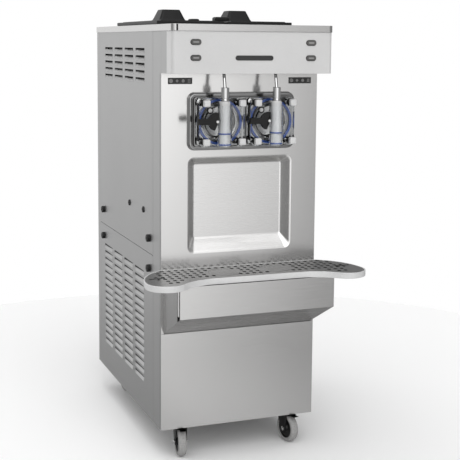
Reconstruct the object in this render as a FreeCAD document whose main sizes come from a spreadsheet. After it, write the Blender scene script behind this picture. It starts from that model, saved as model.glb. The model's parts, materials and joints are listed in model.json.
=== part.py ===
import FreeCAD, Part
import Sketcher
import math
import os
import re

# A floor-standing twin-head soft serve machine.
# The origin is on the floor, at the centre of the whole machine's plan: X to the right, Y to the back,
# Z up. The cabinet's front face is the plane FRONT, and the drip tray reaches out in front of it.

DIMENSIONS = [
    # cabinet
    ("body_width", 560), ("body_depth", 870), ("body_bottom", 107), ("body_top", 1451),
    ("steel", 2), ("seam_gap", 0.8), ("panel_split", 693), ("front_post", 92), ("back_post", 44),
    ("post_flange", 9), ("back_flange", 40), ("base_bottom", 122), ("base_wall", 40),
    ("rear_recess", 12), ("band_height", 22), ("band_lip", 2.5),
    # head
    ("head_bottom", 1315), ("head_reach", 118), ("head_steel_reach", 60), ("head_corner", 14),
    # side vents
    ("vent_length", 114), ("vent_pitch_y", 144.5), ("vent_first_y", 249), ("vent_height", 7),
    ("vent_first_z", 1289), ("vent_pitch_z", 25.5),
    ("louvre_length", 118), ("louvre_pitch_y", 146), ("louvre_first_y", 261), ("louvre_height", 5),
    ("louvre_first_z", 231), ("louvre_pitch_z", 27.3),
    # stamped recess behind the cups
    ("recess_half", 188), ("recess_bottom", 710), ("recess_top", 1036), ("recess_depth", 30),
    ("recess_draft", 20), ("recess_sill", 38),
    # dispensing heads
    ("column_x", 90), ("column_z", 1155), ("surround_half", 194), ("surround_bottom", 1055),
    ("surround_top", 1254), ("surround_reach", 30), ("surround_draft", 10), ("seal_gap", 6.5),
    ("cylinder_bore", 58), ("cylinder_wall", 5), ("cylinder_length", 500),
    ("door_half", 80), ("door_thick", 26), ("door_plug", 57.5), ("stud_x", 62), ("stud_z", 63.5),
    ("spout_reach", 91), ("spout_bore", 21), ("spout_wall", 2.5), ("spout_bottom", 1077),
    ("spout_top", 1212), ("plunger_bottom", 1080), ("plunger_top", 1225),
    ("plunger_neck", 17), ("plunger_skirt", 18.2), ("ring_low", 1084.5), ("ring_high", 1120),
    ("rod_radius", 5.5), ("coupling_radius", 13.5), ("coupling_top", 1270), ("rod_top", 1345),
    ("rod_lean", 13), ("lever_offset", 29), ("lever_z", 1160), ("lever_hub", 30),
    ("lever_flat", 4.5), ("lever_swing", 25.5), ("lever_arm", 67), ("lever_half", 10),
    ("lever_thick", 14), ("lever_front", 102), ("pin_radius", 3),
    # drip tray and its box
    ("tray_reach", 242), ("tray_straight", 175), ("lobe_x", 315.5), ("lobe_radius", 67.5),
    ("tray_sweep", 162), ("tray_back_half", 286), ("tray_gap", 0.5), ("tray_top", 661),
    ("tray_height", 20), ("tray_wall", 5), ("tray_floor", 3),
    ("grid_thick", 3), ("box_half", 270), ("box_side_reach", 146), ("box_reach", 180),
    ("box_top", 640), ("fascia_bottom", 535), ("slant_bottom", 442),
    # hoppers and lids
    ("hopper_x", 128), ("hopper_half", 108), ("hopper_front", 165), ("hopper_back", 655),
    ("hopper_depth", 165), ("hopper_rim", 10), ("lid_half", 121), ("lid_front", 147),
    ("lid_back", 675), ("lid_thick", 12), ("grip_base", 50), ("grip_top", 31), ("grip_y", 400),
    ("overall_height", 1532),
    # casters
    ("caster_x", 196), ("caster_front", 62), ("caster_back", 790), ("wheel_radius", 50),
    ("wheel_half", 14), ("caster_trail", 32), ("axle_radius", 5), ("fork_half", 20),
    ("stem_radius", 8),
    # machinery
    ("feed_y", 300), ("shaft_radius", 10), ("gland_x", -180), ("gland_z", 180),
    ("compressor_x", -130), ("compressor_y", 640), ("compressor_radius", 95),
    ("condenser_x", -225), ("condenser_y", 110), ("condenser_width", 390),
    ("condenser_depth", 60), ("condenser_height", 380),
    ("fan_x", -30), ("fan_rise", 195), ("fan_mouth", 150), ("fan_hub", 28), ("shroud_y", 172),
    ("shroud_x", -200), ("shroud_width", 340), ("shroud_height", 370),
]
ALIASES = {alias for alias, _ in DIMENSIONS}
FRONT = "((tray_reach - body_depth) / 2)"
RUNNING = 0.06          # radial running clearance of a shaft in its bore
CLEAR = 0.6             # gap beside a piece that lifts, slides or turns freely
LEFT, RIGHT = -1, 1
SIDES = {"left": LEFT, "right": RIGHT}

doc = FreeCAD.newDocument("soft_serve_machine")
sheet = doc.addObject("Spreadsheet::Sheet", "Sheet")
for row, (alias, value) in enumerate(DIMENSIONS, 1):
    sheet.set(f"A{row}", alias)
    sheet.set(f"B{row}", str(value))
    sheet.setAlias(f"B{row}", alias)
doc.recompute()

nodes = []


def bound(text):
    """Name the sheet in front of every alias in an expression."""
    return re.sub(r"[A-Za-z_]\w*",
                  lambda word: "Sheet." + word.group() if word.group() in ALIASES else word.group(),
                  str(text))


def size(alias):
    return float(sheet.get(alias))


def node(piece, label):
    """Give a finished piece its own label, which names its file."""
    piece.Label = label
    nodes.append(piece)
    return piece


def place(piece, x=0, y=0, z=0):
    for letter, text in zip("xyz", (x, y, z)):
        piece.setExpression(f"Placement.Base.{letter}", bound(text))
    return piece


def block(x, y, z, dx, dy, dz):
    piece = doc.addObject("Part::Box", "block")
    for name, text in zip(("Length", "Width", "Height"), (dx, dy, dz)):
        piece.setExpression(name, bound(text))
    return place(piece, x, y, z)


AXIS_TURN = {"x": FreeCAD.Rotation(FreeCAD.Vector(0, 1, 0), 90),
             "y": FreeCAD.Rotation(FreeCAD.Vector(1, 0, 0), -90),
             "z": FreeCAD.Rotation()}


def cylinder(axis, x, y, z, radius, length):
    """A cylinder that starts at x, y, z and runs along the positive axis."""
    piece = doc.addObject("Part::Cylinder", "cylinder")
    piece.Placement.Rotation = AXIS_TURN[axis]
    piece.setExpression("Radius", bound(radius))
    piece.setExpression("Height", bound(length))
    return place(piece, x, y, z)


def ring(x, y, z, centre_radius, wire_radius):
    piece = doc.addObject("Part::Torus", "ring")
    piece.setExpression("Radius1", bound(centre_radius))
    piece.setExpression("Radius2", bound(wire_radius))
    return place(piece, x, y, z)


def tapered(front, back, y, depth):
    """A frustum along +Y from a front rectangle to a back one, each (x_low, x_high, z_low, z_high)."""
    piece = doc.addObject("Part::Wedge", "tapered")
    values = {"Xmin": front[0], "Xmax": front[1], "Zmin": front[2], "Zmax": front[3],
              "X2min": back[0], "X2max": back[1], "Z2min": back[2], "Z2max": back[3],
              "Ymin": 0, "Ymax": depth}
    for name, text in values.items():
        piece.setExpression(name, bound(text))
    return place(piece, 0, y, 0)


def fuse(*pieces):
    if len(pieces) == 1:
        return pieces[0]
    piece = doc.addObject("Part::MultiFuse", "fuse")
    piece.Shapes = list(pieces)
    piece.Refine = True
    return piece


def cut(base, *tools):
    piece = doc.addObject("Part::Cut", "cut")
    piece.Base = base
    piece.Tool = fuse(*tools)
    piece.Refine = True
    return piece


def group(*pieces):
    """Separate solids that share one node."""
    piece = doc.addObject("Part::Compound", "group")
    piece.Links = list(pieces)
    return piece


def sketched(body, role, points):
    """A closed polygon on one of the body's own planes, every corner held by two bound distances."""
    plane = next(item for item in body.Origin.OriginFeatures if item.Role == role)
    sketch = body.newObject("Sketcher::SketchObject", "outline")
    sketch.AttachmentSupport = [(plane, "")]
    sketch.MapMode = "FlatFace"
    start = [FreeCAD.Vector(*[evaluated(text) for text in point], 0) for point in points]
    count = len(points)
    for index in range(count):
        sketch.addGeometry(Part.LineSegment(start[index], start[(index + 1) % count]))
    for index in range(count):
        sketch.addConstraint(Sketcher.Constraint("Coincident", index, 2, (index + 1) % count, 1))
    for index, point in enumerate(points):
        for kind, text, value in zip(("DistanceX", "DistanceY"), point, start[index]):
            number = sketch.addConstraint(Sketcher.Constraint(kind, -1, 1, index, 1, value))
            sketch.setExpression(f"Constraints[{number}]", bound(text))
    return sketch


def evaluated(text):
    """The value of an expression in plain numbers."""
    words = re.sub(r"[A-Za-z_]\w*", lambda word: str(size(word.group())), str(text))
    return float(FreeCAD.Units.Quantity(words).Value)


def padded(role, points, length, reverse=False):
    """A PartDesign body: one outline padded along its plane's normal."""
    body = doc.addObject("PartDesign::Body", "body")
    sketch = sketched(body, role, points)
    pad = body.newObject("PartDesign::Pad", "pad")
    pad.Profile = sketch
    pad.Reversed = reverse
    pad.setExpression("Length", bound(length))
    return body


def turned(points):
    """A PartDesign body turned about Z: the points are (radius, height)."""
    body = doc.addObject("PartDesign::Body", "body")
    sketch = sketched(body, "XZ_Plane", points)
    turn = body.newObject("PartDesign::Revolution", "turn")
    turn.Profile = sketch
    turn.ReferenceAxis = (sketch, ["V_Axis"])
    turn.Angle = 360
    return body


def shaped(shape):
    """A Part::Feature for an outline of tangent arcs, which reads its sizes from the sheet."""
    piece = doc.addObject("Part::Feature", "shaped")
    piece.Shape = shape
    return piece


def pill(x, y, z, half_length, half_height, depth):
    """A rounded bar with its face to the front, starting at y and running back."""
    middle = block(f"{x} - {half_length} + {half_height}", y, f"{z} - {half_height}",
                   f"2 * ({half_length} - {half_height})", depth, f"2 * {half_height}")
    ends = [cylinder("y", f"{x} + {side} * ({half_length} - {half_height})", y, z, half_height, depth)
            for side in (LEFT, RIGHT)]
    return fuse(middle, *ends)


# ---------------------------------------------------------------- cabinet

def base_frame():
    x, y = "-body_width / 2 + 2 * steel + 1", f"{FRONT} + 2 * steel + 1"
    dx, dy = "body_width - 4 * steel - 2", "body_depth - 4 * steel - rear_recess - 2"
    pan = block(x, y, "base_bottom", dx, dy, "base_wall")
    hollow = block(f"{x} + steel", f"{y} + steel", "base_bottom + steel", f"{dx} - 2 * steel",
                   f"{dy} - 2 * steel", "base_wall")
    node(cut(pan, hollow), "base_frame")


def corner_posts():
    """Four folded corner strips: each has a wide leg on the side and a narrow one on the face."""
    posts = []
    for side in SIDES.values():
        outer = f"{side} * body_width / 2"
        front = [(outer, FRONT), (f"{outer} - {side} * post_flange", FRONT),
                 (f"{outer} - {side} * post_flange", f"{FRONT} + steel"),
                 (f"{outer} - {side} * steel", f"{FRONT} + steel"),
                 (f"{outer} - {side} * steel", f"{FRONT} + front_post"), (outer, f"{FRONT} + front_post")]
        rear = f"{FRONT} + body_depth"
        back = [(outer, rear), (f"{outer} - {side} * back_flange", rear),
                (f"{outer} - {side} * back_flange", f"{rear} - steel"),
                (f"{outer} - {side} * steel", f"{rear} - steel"),
                (f"{outer} - {side} * steel", f"{rear} - back_post"), (outer, f"{rear} - back_post")]
        for outline in (front, back):
            post = padded("XY_Plane", outline, "body_top - body_bottom")
            posts.append(place(post, z="body_bottom"))
    node(group(*posts), "corner_posts")


def slots(side, first_y, pitch_y, length, first_z, pitch_z, height, columns, rows):
    """A field of air slots through a side panel."""
    x = f"{side} * body_width / 2 - 2 * steel"
    for column in range(columns):
        for level in range(rows):
            yield block(x, f"{FRONT} + {first_y} + {column} * {pitch_y} - {length} / 2",
                        f"{first_z} + {level} * {pitch_z} - {height} / 2", "4 * steel", length, height)


def side_skins():
    inner_y = f"{FRONT} + front_post + seam_gap"
    run_y = "body_depth - front_post - back_post - 2 * seam_gap"
    upper, lower = [], []
    for side in SIDES.values():
        x = f"{side} * (body_width / 2 - steel / 2) - steel / 2"
        skin = block(x, inner_y, "panel_split + seam_gap", "steel", run_y,
                     "body_top - panel_split - seam_gap")
        vents = slots(side, "vent_first_y", "vent_pitch_y", "vent_length", "vent_first_z",
                      "vent_pitch_z", "vent_height", columns=4, rows=5)
        upper.append(cut(skin, *vents))
        skin = block(x, inner_y, "body_bottom", "steel", run_y, "panel_split - body_bottom - seam_gap")
        vents = slots(side, "louvre_first_y", "louvre_pitch_y", "louvre_length", "louvre_first_z",
                      "louvre_pitch_z", "louvre_height", columns=4, rows=15)
        lower.append(cut(skin, *vents))
    node(group(*upper), "side_panels")
    node(group(*lower), "louvre_panels")


def front_skins():
    half = "(body_width / 2 - post_flange - seam_gap)"
    node(block(f"-{half}", FRONT, "body_bottom", f"2 * {half}", "steel",
               "slant_bottom - body_bottom - 1"), "lower_front_panel")
    sheet_metal = block(f"-{half}", FRONT, "slant_bottom", f"2 * {half}", "steel",
                        "head_bottom - slant_bottom")
    mouth = ("-recess_half", "recess_half", "recess_bottom", "recess_top")
    back = ("-recess_half + recess_draft", "recess_half - recess_draft",
            "recess_bottom + recess_sill", "recess_top - recess_draft")
    shell_mouth = ("-recess_half - steel", "recess_half + steel", "recess_bottom - steel",
                   "recess_top + steel")
    shell_back = ("-recess_half + recess_draft - steel", "recess_half - recess_draft + steel",
                  "recess_bottom + recess_sill - steel", "recess_top - recess_draft + steel")
    shell = tapered(shell_mouth, shell_back, FRONT, "recess_depth + steel")
    pocket = tapered(mouth, back, f"{FRONT}", "recess_depth")
    bores = [cylinder("y", f"{side} * column_x", f"{FRONT} - steel", "column_z",
                      "cylinder_bore + cylinder_wall + 8", "3 * steel") for side in SIDES.values()]
    node(cut(fuse(sheet_metal, shell), pocket, *bores), "front_panel")


def rear_panel():
    """The back cover: a plain sheet with a round hole for the cable gland and rows of air slots."""
    half = "(body_width / 2 - steel - 1)"
    y = f"{FRONT} + body_depth - rear_recess - steel"
    skin = block(f"-{half}", y, "body_bottom", f"2 * {half}", "steel", "body_top - body_bottom")
    length, pitch_x, low, pitch_z, slot_height = 120, 150, 260, 40, 12
    air = [block(f"{column} * {pitch_x} - {length} / 2", f"{y} - steel", f"{low} + {level} * {pitch_z}",
                 length, "3 * steel", slot_height)
           for column in (-1, 0, 1) for level in range(8)]
    neck_radius, neck_length, flange_radius, cord_radius = 12, 8, 17, 5
    hole = cylinder("y", "gland_x", f"{y} - steel", "gland_z", neck_radius, "3 * steel")
    node(cut(skin, hole, *air), "rear_panel")
    neck = cylinder("y", "gland_x", f"{y} - {neck_length}", "gland_z", f"{neck_radius} - 0.2",
                    f"{neck_length} + steel")
    flange = cylinder("y", "gland_x", f"{y} + steel", "gland_z", flange_radius, "rear_recess - 3")
    bore = cylinder("y", "gland_x", f"{y} - 2 * {neck_length}", "gland_z", cord_radius,
                    f"4 * {neck_length}")
    node(cut(fuse(neck, flange), bore), "cable_gland")


def rounded_slab(half, y_front, y_back, z_low, z_high, radius):
    """A slab in plan with two rounded front corners, as a shape."""
    slope = radius * (1 - math.sqrt(0.5))
    points = [(-half, y_back), (-half, y_front + radius), (-half + slope, y_front + slope),
              (-half + radius, y_front), (half - radius, y_front), (half - slope, y_front + slope),
              (half, y_front + radius), (half, y_back)]
    corner = [FreeCAD.Vector(px, py, z_low) for px, py in points]
    edges = [Part.LineSegment(corner[0], corner[1]), Part.Arc(corner[1], corner[2], corner[3]),
             Part.LineSegment(corner[3], corner[4]), Part.Arc(corner[4], corner[5], corner[6]),
             Part.LineSegment(corner[6], corner[7]), Part.LineSegment(corner[7], corner[0])]
    face = Part.Face(Part.Wire([edge.toShape() for edge in edges]))
    return face.extrude(FreeCAD.Vector(0, 0, z_high - z_low))


def front_plane():
    return evaluated(FRONT)


def top_cover():
    """The lipped top: a band round the edge, and a deck of five strips that frame the two hopper mouths."""
    half, steel = size("body_width") / 2 + size("band_lip"), size("steel")
    y_front = front_plane() - size("head_reach") - size("band_lip")
    y_back = front_plane() + size("body_depth")
    low, high = size("body_top"), size("body_top") + size("band_height")
    radius = size("head_corner") + size("band_lip")
    outer = rounded_slab(half, y_front, y_back, low, high, radius)
    inner = rounded_slab(half - steel, y_front + steel, y_back - steel, low - steel, high - steel,
                         radius - steel)
    cover = shaped(outer.cut(inner))
    mouths = [block(f"{side} * hopper_x - hopper_half - steel - 1", f"{FRONT} + hopper_front - steel - 1",
                    "body_top", "2 * (hopper_half + steel + 1)",
                    "hopper_back - hopper_front + 2 * (steel + 1)", "2 * band_height")
              for side in SIDES.values()]
    seam = 0.3
    edge = rounded_slab(half - steel, y_front + steel, y_back - steel, high - 2 * steel, high + steel,
                        radius - steel)
    core = rounded_slab(half - steel - seam, y_front + steel + seam, y_back - steel - seam,
                        high - 3 * steel, high + 2 * steel, radius - steel - seam)
    rim_seam = shaped(edge.cut(core))
    mouth_ends = (front_plane() + size("hopper_front") - steel - 1,
                  front_plane() + size("hopper_back") + steel + 1 - seam)
    kerfs = [Part.makeBox(4 * half, seam, 8 * steel, FreeCAD.Vector(-2 * half, end, high - 4 * steel))
             for end in mouth_ends]
    cross_seams = [shaped(core.common(kerf)) for kerf in kerfs]
    node(cut(cover, *mouths, rim_seam, *cross_seams), "top_cover")


def head():
    """The overhanging head: a steel box against the cabinet, with a slot for each lift rod."""
    x, dx = "-body_width / 2", "body_width"
    height = "body_top - head_bottom"
    sleeve = block(x, f"{FRONT} - head_steel_reach", "head_bottom", dx, "head_steel_reach", height)
    hollow = block(f"{x} + steel", f"{FRONT} - head_reach", "head_bottom + steel", f"{dx} - 2 * steel",
                   "2 * head_reach", height)
    apron = block(f"{x} + 4 * steel", f"{FRONT} - head_reach + 3 * steel", "head_bottom",
                  f"{dx} - 8 * steel", "head_reach - 3 * steel", "steel")
    slots_y, slot_run, slot_half = f"{FRONT} - spout_reach - 2", 26, "(rod_radius + 1.5)"
    grip = 3
    holes = [block(f"{side} * (column_x + 1) - {slot_half} - {grip}", f"{slots_y} - {grip}",
                   "head_bottom - steel", f"2 * ({slot_half} + {grip})", f"{slot_run} + 2 * {grip}",
                   "4 * steel") for side in SIDES.values()]
    node(cut(fuse(cut(sleeve, hollow), apron), *holes), "head_housing")
    grommets = []
    for side in SIDES.values():
        x = f"{side} * (column_x + 1) - {slot_half}"
        flange = block(f"{x} - 2 * {grip}", f"{slots_y} - 2 * {grip}", "head_bottom + steel",
                       f"2 * {slot_half} + 4 * {grip}", f"{slot_run} + 4 * {grip}", 2)
        neck = block(f"{x} - {grip}", f"{slots_y} - {grip}", "head_bottom",
                     f"2 * ({slot_half} + {grip})", f"{slot_run} + 2 * {grip}", "steel + 1")
        bore = block(x, slots_y, "head_bottom - steel", f"2 * {slot_half}", slot_run, 20)
        grommets.append(cut(fuse(flange, neck), bore))
    node(group(*grommets), "rod_grommets")


BUTTON_X = 201
BUTTON_HALF = (16.5, 7.5)
BUTTON_ROWS = {"upper": 1416, "lower": 1366}


def head_cover():
    outer_y, back_y = front_plane() - size("head_reach"), front_plane() - size("head_steel_reach")
    half, wall = size("body_width") / 2, 3
    low, high = size("head_bottom"), size("body_top")
    outer = rounded_slab(half, outer_y, back_y, low, high, size("head_corner"))
    inner = rounded_slab(half - wall, outer_y + wall, back_y + 1, low - 1, high + 1,
                         size("head_corner") - wall)
    shell = shaped(outer.cut(inner))
    holes = [pill(side * BUTTON_X, f"{FRONT} - head_reach - 1", z, BUTTON_HALF[0] + CLEAR,
                  BUTTON_HALF[1] + CLEAR, 8)
             for side in SIDES.values() for z in BUTTON_ROWS.values()]
    node(cut(shell, *holes), "head_cover")
    for side_name, side in SIDES.items():
        for row_name, z in BUTTON_ROWS.items():
            button = pill(side * BUTTON_X, f"{FRONT} - head_reach - 3.5", z, *BUTTON_HALF, 9)
            node(button, f"button_{row_name}_{side_name}")
    board = block(-235, f"{FRONT} - head_reach + 12", 1345, 470, 3, 95)
    chips = [block(side * 150 - 45, f"{FRONT} - head_reach + 15", 1352, 90, 16, 80)
             for side in (LEFT, 0, RIGHT)]
    node(fuse(board, *chips), "control_board")


# ---------------------------------------------------------------- dispensing heads

def door_surround():
    """A polished raised panel that the two doors clamp against."""
    foot = ("-surround_half", "surround_half", "surround_bottom", "surround_top")
    face = ("-surround_half + surround_draft", "surround_half - surround_draft",
            "surround_bottom + surround_draft", "surround_top - surround_draft")
    inner_foot = ("-surround_half + steel", "surround_half - steel", "surround_bottom + steel",
                  "surround_top - steel")
    inner_face = ("-surround_half + surround_draft + steel", "surround_half - surround_draft - steel",
                  "surround_bottom + surround_draft + steel", "surround_top - surround_draft - steel")
    outer = tapered(face, foot, f"{FRONT} - surround_reach", "surround_reach")
    inner = tapered(inner_face, inner_foot, f"{FRONT} - surround_reach + 3 * steel",
                    "surround_reach - 3 * steel")
    bores = [cylinder("y", f"{side} * column_x", f"{FRONT} - surround_reach - 1", "column_z",
                      "cylinder_bore + cylinder_wall + 0.5", 40) for side in SIDES.values()]
    tapped = [cylinder("y", f"{side} * column_x + {across} * stud_x", f"{FRONT} - surround_reach - 1",
                       f"column_z + {up} * stud_z", 5, 30)
              for side in SIDES.values() for across in (-1, 1) for up in (-1, 1)]
    node(cut(outer, inner, *bores, *tapped), "door_surround")


def freezing_cylinders():
    """Each barrel is closed at its back by an end plate with the bearing of the beater's shaft."""
    barrels = []
    for side in SIDES.values():
        x, y = f"{side} * column_x", f"{FRONT} - surround_reach"
        tube = cylinder("y", x, y, "column_z", "cylinder_bore + cylinder_wall", "cylinder_length")
        bore = cylinder("y", x, f"{y} - 1", "column_z", "cylinder_bore", "cylinder_length - 11")
        bearing = cylinder("y", x, y, "column_z", f"shaft_radius + {RUNNING}", "cylinder_length + 10")
        feed = cylinder("z", x, f"{FRONT} + feed_y", "column_z", 9, "2 * cylinder_bore")
        barrels.append(cut(tube, bore, bearing, feed))
    node(group(*barrels), "freezing_cylinders")


def feed_tubes():
    """The mix runs down from each hopper's floor into its barrel through a short tube."""
    floor = "body_top + band_height - hopper_depth"
    tubes = []
    for side in SIDES.values():
        low = "column_z + cylinder_bore + 1"
        outside = cylinder("z", f"{side} * column_x", f"{FRONT} + feed_y", low, 9,
                           f"{floor} + 2 * steel - ({low})")
        bore = cylinder("z", f"{side} * column_x", f"{FRONT} + feed_y", "column_z", 6, 400)
        tubes.append(cut(outside, bore))
    node(group(*tubes), "feed_tubes")


def doors():
    """A clear moulded block: a square plate, a round plug behind, and a vertical spout in front."""
    for name, side in SIDES.items():
        x = f"{side} * column_x"
        back = f"{FRONT} - surround_reach - seal_gap"
        face = f"{back} - door_thick"
        slab = block(f"{x} - door_half", face, "column_z - door_half", "2 * door_half", "door_thick",
                     "2 * door_half")
        plug = cylinder("y", x, f"{back} - 1", "column_z", "door_plug", "seal_gap + 21")
        spout_x, spout_y = f"{side} * (column_x + 1)", f"{FRONT} - spout_reach"
        spout = cylinder("z", spout_x, spout_y, "spout_bottom", "spout_bore + spout_wall",
                         "spout_top - spout_bottom")
        web = block(f"{spout_x} - 14", spout_y, "spout_bottom", 28, f"{face} + 1 - ({spout_y})",
                    "spout_top - spout_bottom")
        lug_x = f"{spout_x} - lever_offset"
        lug_y = f"{FRONT} - lever_front + lever_thick + 0.5"
        lug = block(f"{lug_x} - 8", lug_y, "lever_z - 9", 16, f"{face} + 1 - ({lug_y})", 18)
        bore = cylinder("z", spout_x, spout_y, "spout_bottom - 1", "spout_bore", 200)
        port = cylinder("y", x, spout_y, "(ring_low + ring_high) / 2", 11, 90)
        well = cylinder("y", x, f"{back} + 4", "column_z", "door_plug - 6", 40)
        pin = cylinder("y", lug_x, f"{FRONT} - lever_front", "lever_z", "pin_radius", "lever_thick + 14")
        holes = [cylinder("y", f"{x} + {across} * stud_x", f"{face} - 1", f"column_z + {up} * stud_z",
                          5.6, 60) for across in (-1, 1) for up in (-1, 1)]
        node(cut(fuse(slab, plug, spout, web, lug), bore, port, well, pin, *holes), f"door_{name}")


def door_fittings():
    seals, studs, knobs, pins = [], [], [], []
    for side in SIDES.values():
        x = f"{side} * column_x"
        y = f"{FRONT} - surround_reach - seal_gap"
        outside = cylinder("y", x, y, "column_z", 76, "seal_gap")
        inside = cylinder("y", x, f"{y} - 1", "column_z", 69, "seal_gap + 2")
        seals.append(cut(outside, inside))
        for across in (-1, 1):
            for up in (-1, 1):
                here_x, here_z = f"{x} + {across} * stud_x", f"column_z + {up} * stud_z"
                studs.append(cylinder("y", here_x, f"{FRONT} - 88", here_z, 5, 64))
                stem = cylinder("y", here_x, f"{FRONT} - 78", here_z, 8,
                                "78 - surround_reach - seal_gap - door_thick")
                cap = block(f"{here_x} - 11", f"{FRONT} - 96", f"{here_z} - 11", 22, 18, 22)
                bore = cylinder("y", here_x, f"{FRONT} - 88", here_z, 5, 30)
                knobs.append(cut(fuse(stem, cap), bore))
        pin_x = f"{side} * (column_x + 1) - lever_offset"
        shank = cylinder("y", pin_x, f"{FRONT} - lever_front", "lever_z", "pin_radius", "lever_thick + 12")
        cap = cylinder("y", pin_x, f"{FRONT} - lever_front - 2.5", "lever_z", "pin_radius + 1.5", 2)
        joiner = cylinder("y", pin_x, f"{FRONT} - lever_front - 1", "lever_z", "pin_radius", 2)
        pins.append(fuse(shank, joiner, cap))
    node(group(*seals), "door_seals")
    node(group(*studs), "door_studs")
    node(group(*knobs), "door_knobs")
    node(group(*pins), "lever_pins")


def lever_trim(pivot_x, front_y, angle):
    """The part of the hub that would meet the spout once the lever has swung by an angle."""
    swing = math.radians(angle)
    deep = size("lever_hub") + 1
    trim = block(0, 0, 0, "lever_hub", "lever_thick + 2", "2 * lever_hub + 2")
    trim.Placement.Rotation = FreeCAD.Rotation(FreeCAD.Vector(0, 1, 0), angle)
    along_x = size("lever_flat") * math.cos(swing) - deep * math.sin(swing)
    along_z = -size("lever_flat") * math.sin(swing) - deep * math.cos(swing)
    return place(trim, f"{pivot_x} + ({along_x:.6f})", f"{front_y} - 1", f"lever_z + ({along_z:.6f})")


def draw_valves():
    """In each spout: a white plunger with two sealing rings, lifted by a rod and a side lever."""
    for name, side in SIDES.items():
        x, y = f"{side} * (column_x + 1)", f"{FRONT} - spout_reach"
        groove, wire = "(plunger_skirt - 2)", 2.1
        points = [(0, "plunger_bottom"), ("plunger_skirt", "plunger_bottom")]
        for middle in ("ring_low", "ring_high"):
            points += [("plunger_skirt", f"{middle} - 2.3"), (groove, f"{middle} - 2.3"),
                       (groove, f"{middle} + 2.3"), ("plunger_skirt", f"{middle} + 2.3")]
        points += [("plunger_skirt", "ring_high + 12"), ("plunger_neck", "ring_high + 16"),
                   ("plunger_neck", "plunger_top"), (0, "plunger_top")]
        node(place(turned(points), x, y), f"draw_plunger_{name}")
        rings = [ring(x, y, middle, f"spout_bore - {RUNNING + wire}", wire)
                 for middle in ("ring_low", "ring_high")]
        node(group(*rings), f"plunger_seals_{name}")
        points = [(0, "plunger_top"), ("coupling_radius", "plunger_top"),
                  ("coupling_radius", "coupling_top - 4"), ("coupling_radius - 4", "coupling_top"),
                  (0, "coupling_top")]
        coupling = place(turned(points), x, y)
        lean = size("rod_lean")
        rod = cylinder("z", x, y, "coupling_top - 8", "rod_radius", "rod_top - coupling_top + 8")
        rod.Placement.Rotation = FreeCAD.Rotation(FreeCAD.Vector(1, 0, 0), -lean)
        node(fuse(coupling, rod), f"lift_rod_{name}")
        pivot_x = f"{x} - lever_offset"
        front_y = f"{FRONT} - lever_front"
        disc = cylinder("y", pivot_x, front_y, "lever_z", "lever_hub", "lever_thick")
        trims = [lever_trim(pivot_x, front_y, angle) for angle in (0, size("lever_swing"))]
        arm = block(f"{pivot_x} - lever_arm", front_y, "lever_z - lever_half", "lever_arm - 10",
                    "lever_thick", "2 * lever_half")
        hole = cylinder("y", pivot_x, f"{front_y} - 1", "lever_z", f"pin_radius + {RUNNING}",
                        "lever_thick + 2")
        node(cut(fuse(cut(disc, *trims), arm), hole), f"draw_lever_{name}")


def beaters():
    """The dasher scrapes the barrel's wall: a shaft, two end spiders and two long blades."""
    for name, side in SIDES.items():
        x = f"{side} * column_x"
        start, reach, blade_thick, blade_half = f"{FRONT} + 8", "(cylinder_bore - 3)", 10, 8
        shaft = cylinder("y", x, start, "column_z", "shaft_radius", "cylinder_length - 10")
        spiders = [block(f"{x} - {reach}", f"{FRONT} + {along}", f"column_z - {blade_half}",
                         f"2 * {reach}", 12, 2 * blade_half) for along in (20, 220, 430)]
        blades = [block(f"{x} + {across} * ({reach} - {blade_thick / 2}) - {blade_thick / 2}",
                        f"{FRONT} + 12", f"column_z - {blade_half}", blade_thick,
                        "cylinder_length - 65", 2 * blade_half) for across in (-1, 1)]
        node(fuse(shaft, *spiders, *blades), f"beater_{name}")


# ---------------------------------------------------------------- drip tray and its box

def tray_outline(inset, z):
    """The tray in plan: a straight front, two rounded lobes and a straight back, all tangent arcs."""
    front = front_plane()
    lobe_x, lobe_r = size("lobe_x"), size("lobe_radius")
    straight, sweep = size("tray_straight"), size("tray_sweep")
    lobe_y = -straight
    overhang = lobe_x + lobe_r - size("tray_back_half")
    rear_radius = (overhang ** 2 + straight ** 2) / (2 * overhang)
    rear_x = lobe_x + lobe_r - rear_radius
    rise = math.acos(sweep / (lobe_r + sweep))
    small, large, rear = lobe_r - inset, sweep + inset, rear_radius - inset
    hollow_x = lobe_x - (lobe_r + sweep) * math.sin(rise)
    hollow_y = lobe_y - sweep
    corner_x = rear_x + math.sqrt(rear ** 2 - (straight - inset) ** 2)

    def at(side, centre_x, centre_y, radius, angle):
        return FreeCAD.Vector(side * (centre_x + radius * math.cos(angle)),
                              front + centre_y + radius * math.sin(angle), z)

    def half(side):
        """From the straight front's end round the lobe to the back corner."""
        top = math.pi / 2
        meet = -top - rise
        corner_angle = math.atan2(straight - inset, corner_x - rear_x)
        return [Part.Arc(at(side, hollow_x, hollow_y, large, top),
                         at(side, hollow_x, hollow_y, large, top - rise / 2),
                         at(side, hollow_x, hollow_y, large, top - rise)),
                Part.Arc(at(side, lobe_x, lobe_y, small, meet),
                         at(side, lobe_x, lobe_y, small, meet / 2),
                         at(side, lobe_x, lobe_y, small, 0)),
                Part.Arc(at(side, rear_x, lobe_y, rear, 0),
                         at(side, rear_x, lobe_y, rear, corner_angle / 2),
                         at(side, rear_x, lobe_y, rear, corner_angle))]

    right, left = half(RIGHT), half(LEFT)
    curves = right + [Part.LineSegment(right[-1].EndPoint, left[-1].EndPoint)]
    curves += left + [Part.LineSegment(left[0].StartPoint, right[0].StartPoint)]
    edges = Part.__sortEdges__([curve.toShape() for curve in curves])
    return Part.Face(Part.Wire(edges))


def tray_solid(inset, z, height):
    return tray_outline(inset, z).extrude(FreeCAD.Vector(0, 0, height))


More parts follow.
